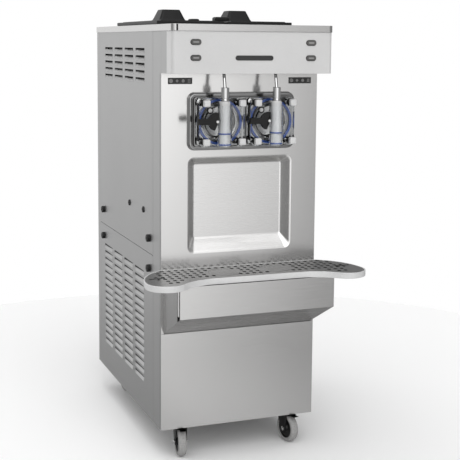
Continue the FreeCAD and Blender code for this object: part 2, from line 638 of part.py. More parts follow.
def drip_tray():
    top, height, wall = size("tray_top"), size("tray_height"), size("tray_wall")
    grid, gap = size("grid_thick"), size("tray_gap")
    basin = tray_solid(wall + 3, top - height + size("tray_floor"), height)
    ledge = tray_solid(wall, top - grid - gap, grid + 1)
    node(shaped(tray_solid(gap, top - height, height).cut(basin).cut(ledge)), "drip_tray")
    node(shaped(tray_solid(wall + CLEAR, top - grid, grid)), "drip_grid")


def drip_box():
    """The box under the tray: side walls, a slanted floor that runs on to the fascia, no top."""
    def floor_z(reach):
        return f"(slant_bottom + (fascia_bottom - slant_bottom) * {reach} / box_reach)"

    def profile(inset, reach):
        low = f"{floor_z(reach)} + {inset} * 1.2"
        return [(f"{FRONT} - 0.2", f"{floor_z(0)} + {inset} * 1.2"),
                (f"{FRONT} - 0.2", f"box_top + {inset}"),
                (f"{FRONT} - {reach}", f"box_top + {inset}"), (f"{FRONT} - {reach}", low)]

    outer = place(padded("YZ_Plane", profile(0, "box_side_reach"), "2 * box_half"), x="-box_half")
    inner = place(padded("YZ_Plane", profile("steel", "(box_side_reach - steel)"),
                         "2 * (box_half - steel)"), x="-box_half + steel")
    lip = [(f"{FRONT} - box_side_reach + steel", floor_z("(box_side_reach - steel)")),
           (f"{FRONT} - box_side_reach + steel", f"{floor_z('(box_side_reach - steel)')} + 1.2 * steel"),
           (f"{FRONT} - box_reach + steel", f"{floor_z('(box_reach - steel)')} + 1.2 * steel"),
           (f"{FRONT} - box_reach + steel", floor_z("(box_reach - steel)"))]
    floor = place(padded("YZ_Plane", lip, "2 * box_half"), x="-box_half")
    node(fuse(cut(outer, inner), floor), "drip_box")
    half = "(box_half + 2)"
    plate = block(f"-{half}", f"{FRONT} - box_reach", "fascia_bottom", f"2 * {half}", "steel",
                  "box_top - fascia_bottom")
    returns = [block(f"{side} * (box_half - 8) - 1", f"{FRONT} - box_reach", "fascia_bottom + 6", 2,
                     "box_reach - box_side_reach - 0.5", "box_top - fascia_bottom - 6")
               for side in SIDES.values()]
    node(fuse(plate, *returns), "drip_box_front")


# ---------------------------------------------------------------- hoppers and lids

def hoppers():
    rim_top = "body_top + band_height + steel"
    tubs = []
    for side in SIDES.values():
        x, y = f"{side} * hopper_x - hopper_half", f"{FRONT} + hopper_front"
        run_y = "(hopper_back - hopper_front)"
        tub = block(f"{x} - steel", f"{y} - steel", f"{rim_top} - hopper_depth",
                    "2 * (hopper_half + steel)", f"{run_y} + 2 * steel", "hopper_depth")
        rim = block(f"{x} - hopper_rim", f"{y} - hopper_rim", f"{rim_top} - steel",
                    "2 * (hopper_half + hopper_rim)", f"{run_y} + 2 * hopper_rim", "steel")
        hollow = block(x, y, f"{rim_top} - hopper_depth + steel", "2 * hopper_half", run_y,
                       "hopper_depth + 10")
        drain = cylinder("z", f"{side} * column_x", f"{FRONT} + feed_y",
                         f"{rim_top} - hopper_depth - 5", 9, 30)
        tubs.append(cut(fuse(tub, rim), hollow, drain))
    node(group(*tubs), "hoppers")


def hopper_lids():
    """A flat moulded lid with a turned-down skirt and a tapered hollow-looking grip."""
    for name, side in SIDES.items():
        base_z = "body_top + band_height + steel + 0.4"
        x, y = f"{side} * hopper_x", f"{FRONT} + grip_y"
        plate = block(f"{x} - lid_half", f"{FRONT} + lid_front", base_z, "2 * lid_half",
                      "lid_back - lid_front", "lid_thick")
        hollow = block(f"{x} - lid_half + 3", f"{FRONT} + lid_front + 3", f"{base_z} - 1",
                       "2 * lid_half - 6", "lid_back - lid_front - 6", "lid_thick - 2")
        grip = doc.addObject("Part::Wedge", "grip")
        values = {"Xmin": "-grip_base", "Xmax": "grip_base", "Zmin": "-grip_base", "Zmax": "grip_base",
                  "X2min": "-grip_top", "X2max": "grip_top", "Z2min": "-grip_top",
                  "Z2max": "grip_top", "Ymin": 0,
                  "Ymax": f"overall_height - ({base_z}) - lid_thick + 1"}
        for key, text in values.items():
            grip.setExpression(key, bound(text))
        grip.Placement.Rotation = FreeCAD.Rotation(FreeCAD.Vector(1, 0, 0), 90)
        place(grip, x, y, f"{base_z} + lid_thick - 1")
        node(fuse(cut(plate, hollow), grip), f"hopper_lid_{name}")


# ---------------------------------------------------------------- machinery

def machinery():
    """Two gearmotors behind the barrels, and below them the refrigeration set."""
    units = []
    for side in SIDES.values():
        x = f"{side} * column_x"
        start = f"{FRONT} - surround_reach + cylinder_length + 12"
        box = block(f"{x} - 55", start, "column_z - 60", 110, 90, 120)
        motor = cylinder("y", x, f"{start} + 90", "column_z", 52, 150)
        socket = cylinder("y", x, f"{start} - 1", "column_z", f"shaft_radius + {CLEAR}", 20)
        units.append(cut(fuse(box, motor), socket))
    node(group(*units), "drive_units")
    floor = "base_bottom + steel"
    shell = cylinder("z", "compressor_x", f"{FRONT} + compressor_y", f"{floor} + 20",
                     "compressor_radius", 230)
    dome = cylinder("z", "compressor_x", f"{FRONT} + compressor_y", f"{floor} + 250",
                    "compressor_radius - 25", 25)
    foot_reach, foot_half = 75, 15
    feet = [block(f"compressor_x + {across * foot_reach - foot_half}",
                  f"{FRONT} + compressor_y + {along * foot_reach - foot_half}", floor,
                  2 * foot_half, 2 * foot_half, 22) for across in (-1, 1) for along in (-1, 1)]
    node(fuse(shell, dome, *feet), "compressor")
    node(block("condenser_x", f"{FRONT} + condenser_y", floor, "condenser_width", "condenser_depth",
               "condenser_height"), "condenser")
    fan_z, shroud_depth = f"({floor} + fan_rise)", 40
    shroud = block("shroud_x", f"{FRONT} + shroud_y", floor, "shroud_width", shroud_depth,
                   "shroud_height")
    mouth = cylinder("y", "fan_x", f"{FRONT} + shroud_y - 1", fan_z, "fan_mouth", shroud_depth + 20)
    strut = block("fan_x - 8", f"{FRONT} + shroud_y + {shroud_depth - 6}", floor, 16, 6,
                  "shroud_height")
    motor = cylinder("y", "fan_x", f"{FRONT} + shroud_y + {shroud_depth}", fan_z, 42, 70)
    blade_y = f"{FRONT} + shroud_y + 12"
    shaft = cylinder("y", "fan_x", blade_y, fan_z, 6, 40)
    node(fuse(cut(shroud, mouth), strut, motor, shaft), "fan_motor")
    hub = cylinder("y", "fan_x", blade_y, fan_z, "fan_hub", 18)
    blades = []
    count, pitch_angle, root, chord = 5, 14, 22, 60
    for index in range(count):
        blade = block(0, 0, 0, "fan_mouth - 34", 3, chord)
        turn = FreeCAD.Rotation(FreeCAD.Vector(0, 1, 0), index * 360 / count)
        pitch = FreeCAD.Rotation(FreeCAD.Vector(1, 0, 0), pitch_angle)
        blade.Placement.Rotation = turn.multiply(pitch)
        base = turn.multVec(FreeCAD.Vector(root, 0, -25))
        place(blade, f"fan_x + ({base.x:.6f})", f"{blade_y} + 5", f"{fan_z} + ({base.z:.6f})")
        blades.append(blade)
    bore = cylinder("y", "fan_x", f"{FRONT} + condenser_y", fan_z, f"6 + {RUNNING}", 120)
    node(cut(fuse(hub, *blades), bore), "fan_blade")


def panel_plugs():
    """On each side panel: four rubber bumpers near the corners of the seam and two low hole plugs."""
    fittings = [(133, 747, 13, 12), (133, 642, 13, 12), (765, 753, 13, 12), (765, 648, 13, 12),
                (388, 834, 11, 4), (207, 835, 11, 4)]
    plugs = []
    for side in SIDES.values():
        for along, z, radius, height in fittings:
            x = f"-body_width / 2 - {height}" if side == LEFT else "body_width / 2"
            plugs.append(cylinder("x", x, f"{FRONT} + {along}", z, radius, height))
    node(group(*plugs), "panel_plugs")


# ---------------------------------------------------------------- casters

CASTERS = {"front_left": (LEFT, "caster_front", -8), "front_right": (RIGHT, "caster_front", 12),
           "back_left": (LEFT, "caster_back", 4), "back_right": (RIGHT, "caster_back", -6)}


def casters():
    """Each fork swivels about its stem and trails its wheel to the front, turned a little in plan."""
    plates = []
    crown = "base_bottom - 3.5"
    for name, (side, along, yaw) in CASTERS.items():
        x, y = f"{side} * caster_x", f"{FRONT} + {along}"
        plate = block(f"{x} - 42", f"{y} - 42", "base_bottom - 3", 84, 84, 3)
        hole = cylinder("z", x, y, "base_bottom - 5", f"stem_radius + {RUNNING}", 10)
        plates.append(cut(plate, hole))
        stem = cylinder("z", 0, 0, f"{crown} - 1", "stem_radius", 4)
        top = cylinder("z", 0, 0, f"{crown} - 6", 27, 6)
        bridge = block("-fork_half", "-caster_trail - 22", f"{crown} - 9", "2 * fork_half",
                       "caster_trail + 30", 5)
        legs = []
        for leg_side in (LEFT, RIGHT):
            outline = [(12, f"{crown} - 5"), ("-caster_trail - 20", f"{crown} - 5"),
                       ("-caster_trail - 11", "wheel_radius - 10"),
                       ("-caster_trail + 11", "wheel_radius - 10")]
            leg = padded("YZ_Plane", outline, 3)
            legs.append(place(leg, x=f"{leg_side} * (fork_half - 1.5) - 1.5"))
        axle = cylinder("x", "-fork_half - 3", "-caster_trail", "wheel_radius", "axle_radius",
                        "2 * fork_half + 6")
        fork = fuse(stem, top, bridge, *legs, axle)
        fork.Placement.Rotation = FreeCAD.Rotation(FreeCAD.Vector(0, 0, 1), yaw)
        node(place(fork, x, y), f"caster_fork_{name}")
        edge, rise, bore = "wheel_radius", 6, f"axle_radius + {RUNNING}"
        points = [(bore, "-wheel_half - 1.5"), (13, "-wheel_half - 1.5"), (13, "-wheel_half + 2"),
                  (f"{edge} - 13", "-wheel_half + 2"), (f"{edge} - 13", "-wheel_half"),
                  (f"{edge} - {rise}", "-wheel_half"), (f"{edge} - 1.5", f"-wheel_half + {rise} - 1.5"),
                  (edge, f"-wheel_half + {rise} + 2"), (edge, f"wheel_half - {rise} - 2"),
                  (f"{edge} - 1.5", f"wheel_half - {rise} + 1.5"), (f"{edge} - {rise}", "wheel_half"),
                  (f"{edge} - 13", "wheel_half"), (f"{edge} - 13", "wheel_half - 2"), (13, "wheel_half - 2"),
                  (13, "wheel_half + 1.5"), (bore, "wheel_half + 1.5")]
        wheel = turned(points)
        turn = FreeCAD.Rotation(FreeCAD.Vector(0, 0, 1), yaw)
        wheel.Placement.Rotation = turn.multiply(AXIS_TURN["x"])
        angle = math.radians(yaw)
        place(wheel, f"{x} + {math.sin(angle):.6f} * caster_trail",
              f"{y} - {math.cos(angle):.6f} * caster_trail", "wheel_radius")
        node(wheel, f"caster_wheel_{name}")
        if along == "caster_front":
            low = "2 * wheel_radius + 1.2"
            heel = block("4 - fork_half", "-caster_trail - 30", low, "2 * fork_half - 8", 32, 4.5)
            tip = block("10 - fork_half", "-caster_trail - 52", f"{low} + 1.5", "2 * fork_half - 20",
                        24, 2.5)
            pedal = fuse(heel, tip)
            pedal.Placement.Rotation = FreeCAD.Rotation(FreeCAD.Vector(0, 0, 1), yaw)
            node(place(pedal, x, y), f"brake_pedal_{name}")
    node(group(*plates), "caster_plates")


def write_parts():
    doc.recompute()
    for item in doc.Objects:
        if "Invalid" in item.State or "Error" in item.State:
            raise RuntimeError(f"{item.Label} did not compute: {item.State}")
    os.makedirs("parts", exist_ok=True)
    for piece in nodes:
        shape = piece.Shape
        if shape.isNull() or not shape.isValid() or not shape.Solids:
            raise RuntimeError(f"{piece.Label} has no valid solid")
        shape.exportStep(f"parts/{piece.Label}.step")
        print(f"{piece.Label:28s} {len(shape.Solids):3d} solids {shape.Volume / 1000:10.1f} cm3")
    print(len(nodes), "nodes")


base_frame()
corner_posts()
side_skins()
front_skins()
rear_panel()
top_cover()
head()
head_cover()
door_surround()
freezing_cylinders()
feed_tubes()
doors()
door_fittings()
draw_valves()
beaters()
drip_tray()
drip_box()
hoppers()
hopper_lids()
machinery()
panel_plugs()
casters()
write_parts()
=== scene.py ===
# %% [markdown]
# # A twin-head soft serve machine
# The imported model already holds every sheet, shaft and caster at its real size and place. What it lacks is
# what the eye looks for: pressed louvres, rounded folds, moulded covers and the finish of each metal and
# plastic. Every cell below makes one piece or one finish, and hangs it on the body that it moves with.

# %% Load the frame
import bpy
import bmesh
import json
import math
from mathutils import Matrix, Vector


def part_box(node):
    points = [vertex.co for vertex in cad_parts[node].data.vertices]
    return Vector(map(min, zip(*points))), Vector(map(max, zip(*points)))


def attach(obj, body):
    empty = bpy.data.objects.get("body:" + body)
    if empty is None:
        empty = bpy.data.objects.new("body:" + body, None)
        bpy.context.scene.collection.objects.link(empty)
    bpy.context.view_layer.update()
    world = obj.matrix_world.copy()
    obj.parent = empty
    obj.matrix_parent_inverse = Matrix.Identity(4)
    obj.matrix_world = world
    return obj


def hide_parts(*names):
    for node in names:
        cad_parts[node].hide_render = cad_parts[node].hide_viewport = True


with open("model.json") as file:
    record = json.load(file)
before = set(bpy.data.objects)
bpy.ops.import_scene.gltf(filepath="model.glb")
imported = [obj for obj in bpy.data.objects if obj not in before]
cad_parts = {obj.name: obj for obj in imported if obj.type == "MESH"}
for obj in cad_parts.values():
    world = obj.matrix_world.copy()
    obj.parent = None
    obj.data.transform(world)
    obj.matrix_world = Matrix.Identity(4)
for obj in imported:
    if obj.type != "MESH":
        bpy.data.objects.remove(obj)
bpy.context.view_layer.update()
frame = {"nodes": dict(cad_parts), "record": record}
slot_of = {part["node"]: part["material_slot"] for part in frame["record"]["subparts"]}
MM = 0.001
SIDES = {"left": -1, "right": 1}

# %% [markdown]
# ## The camera
# A catalogue picture is taken from far off with a long lens, so that upright edges stay nearly upright.
# The camera stands to the left, higher than the machine's middle, and looks a little down. A small shift of
# the lens does part of that work, which leaves the camera less tilted.

# %% Place the camera
CAMERA_PLACE = Vector((-1.29764, -3.63098, 1.41116))
CAMERA_YAW, CAMERA_PITCH, CAMERA_ROLL = 0.363133, -0.118521, 0.007958
CAMERA_LENS, CAMERA_SHIFT = 82.96, -0.1304

camera_data = bpy.data.cameras.new("studio_camera")
camera_data.sensor_width = 36
camera_data.lens = CAMERA_LENS
camera_data.shift_y = CAMERA_SHIFT
camera = bpy.data.objects.new("studio_camera", camera_data)
bpy.context.scene.collection.objects.link(camera)
turn = (Matrix.Rotation(-CAMERA_YAW, 4, "Z") @ Matrix.Rotation(math.pi / 2 + CAMERA_PITCH, 4, "X")
        @ Matrix.Rotation(CAMERA_ROLL, 4, "Z"))
camera.matrix_world = Matrix.Translation(CAMERA_PLACE) @ turn
bpy.context.scene.camera = camera
print("camera at", tuple(round(value, 3) for value in camera.location))

# %% [markdown]
# ## Light for brushed steel
# Steel has little colour of its own: it shows the room. A plain white room would make it flat, so the
# room is bright straight ahead and overhead, and dim to the left, to the right and below. One more bright
# wall stands behind on the left, for the side sheets to mirror. The camera itself sees plain white behind
# the machine, and a broad soft sun lights the floor evenly.

# %% Build the room's light
def add_node(tree, kind, **settings):
    """A new shader node with its settings made."""
    made = tree.nodes.new(kind)
    for key, value in settings.items():
        setattr(made, key, value)
    return made


def ramp_of(tree, fac, stops, mode="EASE"):
    """A colour ramp with grey or coloured stops, given as (position, value or colour)."""
    ramp = add_node(tree, "ShaderNodeValToRGB")
    ramp.color_ramp.interpolation = mode
    points = ramp.color_ramp.elements
    while len(points) < len(stops):
        points.new(0.5)
    for point, (position, value) in zip(points, stops):
        point.position = position
        point.color = (value, value, value, 1) if isinstance(value, float) else (*value, 1)
    tree.links.new(fac, ramp.inputs["Fac"])
    return ramp.outputs["Color"]


ROOM_AROUND = [(0.0, 1.0), (0.08, 0.66), (0.20, 0.18), (0.31, 0.22), (0.34, 0.74), (0.40, 0.74),
               (0.47, 0.68), (0.54, 0.24), (0.72, 0.20), (0.90, 0.24), (0.926, 0.36), (0.952, 1.0)]
ROOM_UP = [(0.0, 0.25), (0.30, 0.28), (0.38, 0.34), (0.45, 0.45), (0.50, 0.52), (0.70, 0.52),
           (0.91, 0.42), (0.97, 1.0)]
ROOM_STRENGTH = 3.0

world = bpy.data.worlds.new("studio")
bpy.context.scene.world = world
world.use_nodes = True
room = world.node_tree
direction = add_node(room, "ShaderNodeTexCoord").outputs["Generated"]
parts = add_node(room, "ShaderNodeSeparateXYZ")
room.links.new(direction, parts.inputs[0])
around = add_node(room, "ShaderNodeMath", operation="ARCTAN2")
room.links.new(parts.outputs["X"], around.inputs[0])
room.links.new(parts.outputs["Y"], around.inputs[1])
share = add_node(room, "ShaderNodeMapRange")
share.inputs["From Min"].default_value = -math.pi
share.inputs["From Max"].default_value = math.pi
room.links.new(around.outputs[0], share.inputs["Value"])
height = add_node(room, "ShaderNodeMapRange")
height.inputs["From Min"].default_value = -1
room.links.new(parts.outputs["Z"], height.inputs["Value"])
mixed = add_node(room, "ShaderNodeMix", data_type="RGBA", blend_type="MULTIPLY")
mixed.inputs["Factor"].default_value = 1
room.links.new(ramp_of(room, share.outputs["Result"], ROOM_AROUND, "LINEAR"), mixed.inputs["A"])
room.links.new(ramp_of(room, height.outputs["Result"], ROOM_UP), mixed.inputs["B"])
seen = add_node(room, "ShaderNodeMix", data_type="RGBA")
seen.inputs["B"].default_value = (*[1 / ROOM_STRENGTH] * 3, 1)
room.links.new(add_node(room, "ShaderNodeLightPath").outputs["Is Camera Ray"], seen.inputs["Factor"])
room.links.new(mixed.outputs["Result"], seen.inputs["A"])
room.links.new(seen.outputs["Result"], room.nodes["Background"].inputs["Color"])
room.nodes["Background"].inputs["Strength"].default_value = ROOM_STRENGTH

sun_data = bpy.data.lights.new("soft_sun", "SUN")
sun_data.energy = 1.1
sun_data.angle = math.radians(90)
sun = bpy.data.objects.new("soft_sun", sun_data)
sun.rotation_euler = (math.radians(32), 0, math.radians(-30))
bpy.context.scene.collection.objects.link(sun)
bpy.context.scene.view_settings.view_transform = "Standard"
print("room built, sun energy", sun_data.energy)

# %% [markdown]
# ## Finishes
# Each finish is a Principled shader with its plain numbers on its own sockets, and a pattern on object
# coordinates for what varies: the lines of a brush, the pebbling of a mould, the specks in rubber. Object
# coordinates are metres here, so a pattern scale of 500 is a grain of about two millimetres.

# %% Tools for finishes
FINISHES = {}


def pattern(tree, scale, stretch=(1, 1, 1), detail=3.0, rough=0.5):
    """A noise value on object coordinates, squeezed along the axes whose stretch is large."""
    place = add_node(tree, "ShaderNodeTexCoord")
    mapping = add_node(tree, "ShaderNodeMapping")
    mapping.inputs["Scale"].default_value = stretch
    tree.links.new(place.outputs["Object"], mapping.inputs["Vector"])
    noise = add_node(tree, "ShaderNodeTexNoise")
    noise.inputs["Scale"].default_value = scale
    noise.inputs["Detail"].default_value = detail
    noise.inputs["Roughness"].default_value = rough
    tree.links.new(mapping.outputs["Vector"], noise.inputs["Vector"])
    return noise.outputs["Fac"]


def spread(tree, value, low, high, start=0.3, end=0.7):
    """The same value remapped to run from low to high."""
    mapped = add_node(tree, "ShaderNodeMapRange")
    mapped.inputs["From Min"].default_value = start
    mapped.inputs["From Max"].default_value = end
    mapped.inputs["To Min"].default_value = low
    mapped.inputs["To Max"].default_value = high
    tree.links.new(value, mapped.inputs["Value"])
    return mapped.outputs["Result"]


def tinted(tree, value, dark, light):
    """A colour between dark and light."""
    mix = add_node(tree, "ShaderNodeMix", data_type="RGBA")
    mix.inputs["A"].default_value = (*dark, 1)
    mix.inputs["B"].default_value = (*light, 1)
    tree.links.new(value, mix.inputs["Factor"])
    return mix.outputs["Result"]


def new_finish(slot, **sockets):
    """A finish named for its slot; its plain numbers go on the shader's own sockets."""
    material = bpy.data.materials.new(slot)
    material.use_nodes = True
    shader = material.node_tree.nodes["Principled BSDF"]
    for name, value in sockets.items():
        shader.inputs[name.replace("_", " ")].default_value = value
    FINISHES[slot] = material
    return material.node_tree, shader


def bumped(tree, shader, value, distance, strength=1.0):
    """Relief of a given height in metres."""
    bump = add_node(tree, "ShaderNodeBump")
    bump.inputs["Distance"].default_value = distance
    bump.inputs["Strength"].default_value = strength
    tree.links.new(value, bump.inputs["Height"])
    tree.links.new(bump.outputs["Normal"], shader.inputs["Normal"])


def shade(level, warm=0.0):
    """A near-grey colour, a little warm or cool."""
    return (level * (1 + warm), level, level * (1 - warm))


# %% [markdown]
# ### Sheet steel
# The cabinet is stainless sheet, brushed along its length, so each reflection is smeared across the brush
# lines. One noise, squeezed hard across the brush, changes the roughness and the tone together, and a
# slow one clouds the tone a little. The polished surround has no lines, only a faint ripple.

# %% Mix the steels
def brushed_steel(slot, dark, light, roughness, stretch, anisotropic, turned, warm=0.008):
    """Brushed sheet; the stretch is small along the brush lines and large across them."""
    tree, shader = new_finish(slot, Metallic=1.0, Anisotropic=anisotropic, Anisotropic_Rotation=turned)
    lines = pattern(tree, 40, stretch, detail=4, rough=0.6)
    clouds = pattern(tree, 2.2, (1, 1, 0.6), detail=2)
    tone = add_node(tree, "ShaderNodeMath", operation="MULTIPLY")
    tree.links.new(spread(tree, lines, 0.55, 1.0), tone.inputs[0])
    tree.links.new(spread(tree, clouds, 0.7, 1.0), tone.inputs[1])
    tree.links.new(tinted(tree, tone.outputs[0], shade(dark, warm), shade(light, warm)),
                   shader.inputs["Base Color"])
    tree.links.new(spread(tree, lines, roughness * 0.8, roughness * 1.25), shader.inputs["Roughness"])
    bumped(tree, shader, lines, 0.00003, 0.25)


ALONG_X, ALONG_Y, ALONG_Z = (0.4, 40, 60), (40, 0.4, 60), (50, 50, 0.4)
brushed_steel("front_steel", 0.55, 0.68, 0.17, ALONG_X, 0.6, 0.25)
# A darker copy of the front steel: painted shade, the dark reflection on the drip box's shell.
brushed_steel("box_steel", 0.24, 0.32, 0.26, ALONG_X, 0.5, 0.25)
# A brighter copy of the front steel: a painted highlight, for the stamped recess and the drip box's strips.
brushed_steel("recess_steel", 0.66, 0.78, 0.26, ALONG_X, 0.5, 0.25)
brushed_steel("side_steel", 0.36, 0.45, 0.40, ALONG_Z, 0.3, 0.0, warm=0.0)
brushed_steel("band_steel", 0.50, 0.60, 0.30, ALONG_X, 0.4, 0.25)
brushed_steel("grid_steel", 0.19, 0.28, 0.30, ALONG_X, 0.3, 0.0)
brushed_steel("bright_steel", 0.62, 0.76, 0.34, (60, 1, 60), 0.0, 0.0)
brushed_steel("frame_steel", 0.34, 0.44, 0.45, ALONG_Y, 0.0, 0.0)
brushed_steel("fin_aluminium", 0.5, 0.7, 0.4, (400, 3, 3), 0.0, 0.0)

tree, shader = new_finish("polished_steel", Metallic=1.0)
ripple = pattern(tree, 14, detail=2)
tree.links.new(tinted(tree, ripple, shade(0.26), shade(0.34)), shader.inputs["Base Color"])
tree.links.new(spread(tree, pattern(tree, 60), 0.08, 0.14), shader.inputs["Roughness"])
bumped(tree, shader, ripple, 0.0006, 0.3)

tree, shader = new_finish("chrome", Metallic=1.0)
tree.links.new(tinted(tree, pattern(tree, 30), shade(0.60), shade(0.68)), shader.inputs["Base Color"])
tree.links.new(spread(tree, pattern(tree, 90), 0.04, 0.09), shader.inputs["Roughness"])
print("steels:", ", ".join(FINISHES))

# %% [markdown]
# ### Plastics and rubber
# Moulded covers are white with a fine orange peel that only shows in a highlight. The doors are clear
# acrylic. The levers, lids and bumpers are black with a pebbled skin, and the caster treads are grey
# rubber with specks.

# %% Mix the plastics
def moulded(slot, dark, light, roughness, grain, relief, speck=6.0, **sockets):
    """Opaque plastic: a faint mottle in its colour, and a pebbled skin of the given grain and relief."""
    tree, shader = new_finish(slot, **sockets)
    skin = pattern(tree, grain, detail=2)
    tree.links.new(tinted(tree, spread(tree, pattern(tree, speck), 0.0, 1.0), dark, light),
                   shader.inputs["Base Color"])
    tree.links.new(spread(tree, skin, roughness * 0.85, roughness * 1.2), shader.inputs["Roughness"])
    bumped(tree, shader, skin, relief)


moulded("white_cover", shade(0.62, 0.003), shade(0.66, 0.003), 0.30, 350, 0.00004, Coat_Weight=0.25)
moulded("tray_white", shade(0.60), shade(0.64), 0.28, 300, 0.00003, Coat_Weight=0.3)
moulded("white_plastic", shade(0.60), shade(0.68), 0.34, 500, 0.00004)
moulded("beater_white", shade(0.66), shade(0.74), 0.40, 400, 0.00004)
moulded("black_plastic", shade(0.006), shade(0.012), 0.5, 900, 0.00006, Specular_IOR_Level=0.3)
moulded("lid_black", shade(0.004), shade(0.008), 0.40, 1100, 0.00008, Specular_IOR_Level=0.25)
moulded("caster_black", shade(0.006), shade(0.012), 0.38, 800, 0.00006, Specular_IOR_Level=0.3)
moulded("machine_black", shade(0.01), shade(0.02), 0.6, 500, 0.00008, Specular_IOR_Level=0.2)
moulded("fan_grey", shade(0.10), shade(0.14), 0.5, 500, 0.00006)
moulded("wheel_grey", shade(0.24, 0.01), shade(0.33, 0.01), 0.55, 420, 0.00012, speck=180.0)
moulded("button_grey", shade(0.075, 0.03), shade(0.11, 0.03), 0.40, 700, 0.00004)
moulded("button_bezel", shade(0.035), shade(0.05), 0.35, 700, 0.00003)
moulded("plate_black", shade(0.018), shade(0.03), 0.32, 600, 0.00003)
moulded("symbol_grey", shade(0.26, 0.01), shade(0.33, 0.01), 0.45, 500, 0.00003)
moulded("seal_blue", (0.01, 0.05, 0.26), (0.02, 0.08, 0.36), 0.42, 600, 0.00005)
moulded("board_green", (0.01, 0.12, 0.05), (0.02, 0.18, 0.07), 0.45, 60, 0.00010, speck=90.0)

tree, shader = new_finish("clear_plastic", Transmission_Weight=1.0, IOR=1.45)
haze = pattern(tree, 25)
tree.links.new(tinted(tree, haze, (0.96, 0.975, 0.98), (0.985, 0.99, 0.995)), shader.inputs["Base Color"])
tree.links.new(spread(tree, haze, 0.0, 0.03), shader.inputs["Roughness"])
passed = add_node(tree, "ShaderNodeBsdfTransparent")
passed.inputs["Color"].default_value = (0.94, 0.95, 0.96, 1)
lamps = add_node(tree, "ShaderNodeMixShader")
tree.links.new(add_node(tree, "ShaderNodeLightPath").outputs["Is Shadow Ray"], lamps.inputs["Fac"])
tree.links.new(shader.outputs["BSDF"], lamps.inputs[1])
tree.links.new(passed.outputs["BSDF"], lamps.inputs[2])
tree.links.new(lamps.outputs["Shader"], tree.nodes["Material Output"].inputs["Surface"])
print(len(FINISHES), "finishes")
missing = set(slot_of.values()) - set(FINISHES)
print("slots with no finish:", sorted(missing))

# %% [markdown]
# ## Tools for pieces
# Most sheet parts start as a slab, a turned profile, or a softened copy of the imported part, whose hard
# edges are rounded as a press brake leaves them. A piece is finished in one place: faces turned outward,
# smooth shading with sharp folds, its finish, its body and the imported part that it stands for. Weighted
# normals keep each large face flat between its rounded folds, which steel shows at once.

# %% Tools for shapes
def slab(low, high, radius=1.0 * MM, segments=3):
    """A box from corner to corner with rounded edges."""
    low, high = Vector(low), Vector(high)
    bm = bmesh.new()
    bmesh.ops.create_cube(bm, size=1.0)
    bmesh.ops.scale(bm, vec=high - low, verts=bm.verts)
    bmesh.ops.translate(bm, vec=(low + high) / 2, verts=bm.verts)
    return rounded(bm, list(bm.edges), radius, segments)


def rounded(bm, edges, radius, segments=3):
    """Round the given edges."""
    bmesh.ops.bevel(bm, geom=edges, offset=radius, offset_type="OFFSET", segments=segments, profile=0.5,
                    affect="EDGES", clamp_overlap=True, material=-1)
    return bm


AXIS_TURN = {"X": Matrix.Rotation(math.pi / 2, 3, "Y"), "Y": Matrix.Rotation(-math.pi / 2, 3, "X"),
             "Z": Matrix.Identity(3)}


def lathed(profile, centre=(0, 0, 0), axis="Z", steps=48):
    """(radius, height) points spun about an axis through the centre."""
    bm = bmesh.new()
    points = [bm.verts.new((radius, 0, along)) for radius, along in profile]
    edges = [bm.edges.new(pair) for pair in zip(points, points[1:])]
    bmesh.ops.spin(bm, geom=points + edges, cent=(0, 0, 0), axis=(0, 0, 1), angle=math.tau,
                   steps=steps, use_merge=True)
    bmesh.ops.remove_doubles(bm, verts=bm.verts, dist=0.002 * MM)
    bmesh.ops.recalc_face_normals(bm, faces=bm.faces)
    bmesh.ops.rotate(bm, cent=(0, 0, 0), matrix=AXIS_TURN[axis], verts=bm.verts)
    bmesh.ops.translate(bm, vec=centre, verts=bm.verts)
    return bm


def cylinder(radius, start, end, centre=(0, 0, 0), axis="Z", steps=64):
    """A plain cylinder along an axis, from start to end as measured from its centre."""
    return lathed([(0, start), (radius, start), (radius, end), (0, end)], centre, axis, steps)


def thickened(bm, shift):
    """Give a sheet its thickness: its faces are copied, moved by a shift and walled in."""
    grown = bmesh.ops.extrude_face_region(bm, geom=list(bm.faces), use_keep_orig=True)
    moved = [item for item in grown["geom"] if isinstance(item, bmesh.types.BMVert)]
    bmesh.ops.translate(bm, vec=shift, verts=moved)
    bmesh.ops.recalc_face_normals(bm, faces=bm.faces)
    return bm


def joined(*parts):
    """Several shapes as one."""
    whole = bmesh.new()
    for part in parts:
        mesh = bpy.data.meshes.new("part")
        part.to_mesh(mesh)
        part.free()
        whole.from_mesh(mesh)
        bpy.data.meshes.remove(mesh)
    return whole


def carved(blank, cutter, operation="DIFFERENCE"):
    """One closed shape cut by another, or joined with it."""
    stock = []
    for name, part in (("blank", blank), ("cutter", cutter)):
        mesh = bpy.data.meshes.new(name)
        part.to_mesh(mesh)
        part.free()
        stock.append(bpy.data.objects.new(name, mesh))
        bpy.context.scene.collection.objects.link(stock[-1])
    tool = stock[0].modifiers.new("carve", "BOOLEAN")
    tool.object = stock[1]
    tool.operation = operation
    tool.solver = "EXACT"
    graph = bpy.context.evaluated_depsgraph_get()
    result = bmesh.new()
    result.from_mesh(stock[0].evaluated_get(graph).data)
    for item in stock:
        mesh = item.data
        bpy.data.objects.remove(item)
        bpy.data.meshes.remove(mesh)
    return result


def copied(node):
    """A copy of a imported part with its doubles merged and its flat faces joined."""
    bm = bmesh.new()
    bm.from_mesh(frame["nodes"][node].data)
    bmesh.ops.remove_doubles(bm, verts=bm.verts, dist=0.01 * MM)
    bmesh.ops.dissolve_limit(bm, angle_limit=math.radians(1), verts=bm.verts, edges=bm.edges)
    return bm


def hard_edges(bm, angle=30):
    """The edges where two faces meet at more than an angle."""
    return [edge for edge in bm.edges
            if len(edge.link_faces) == 2 and edge.calc_face_angle() > math.radians(angle)]


def softened(node, radius=1.0 * MM, segments=2, angle=30):
    """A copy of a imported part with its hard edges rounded."""
    bm = copied(node)
    return rounded(bm, hard_edges(bm, angle), radius, segments)


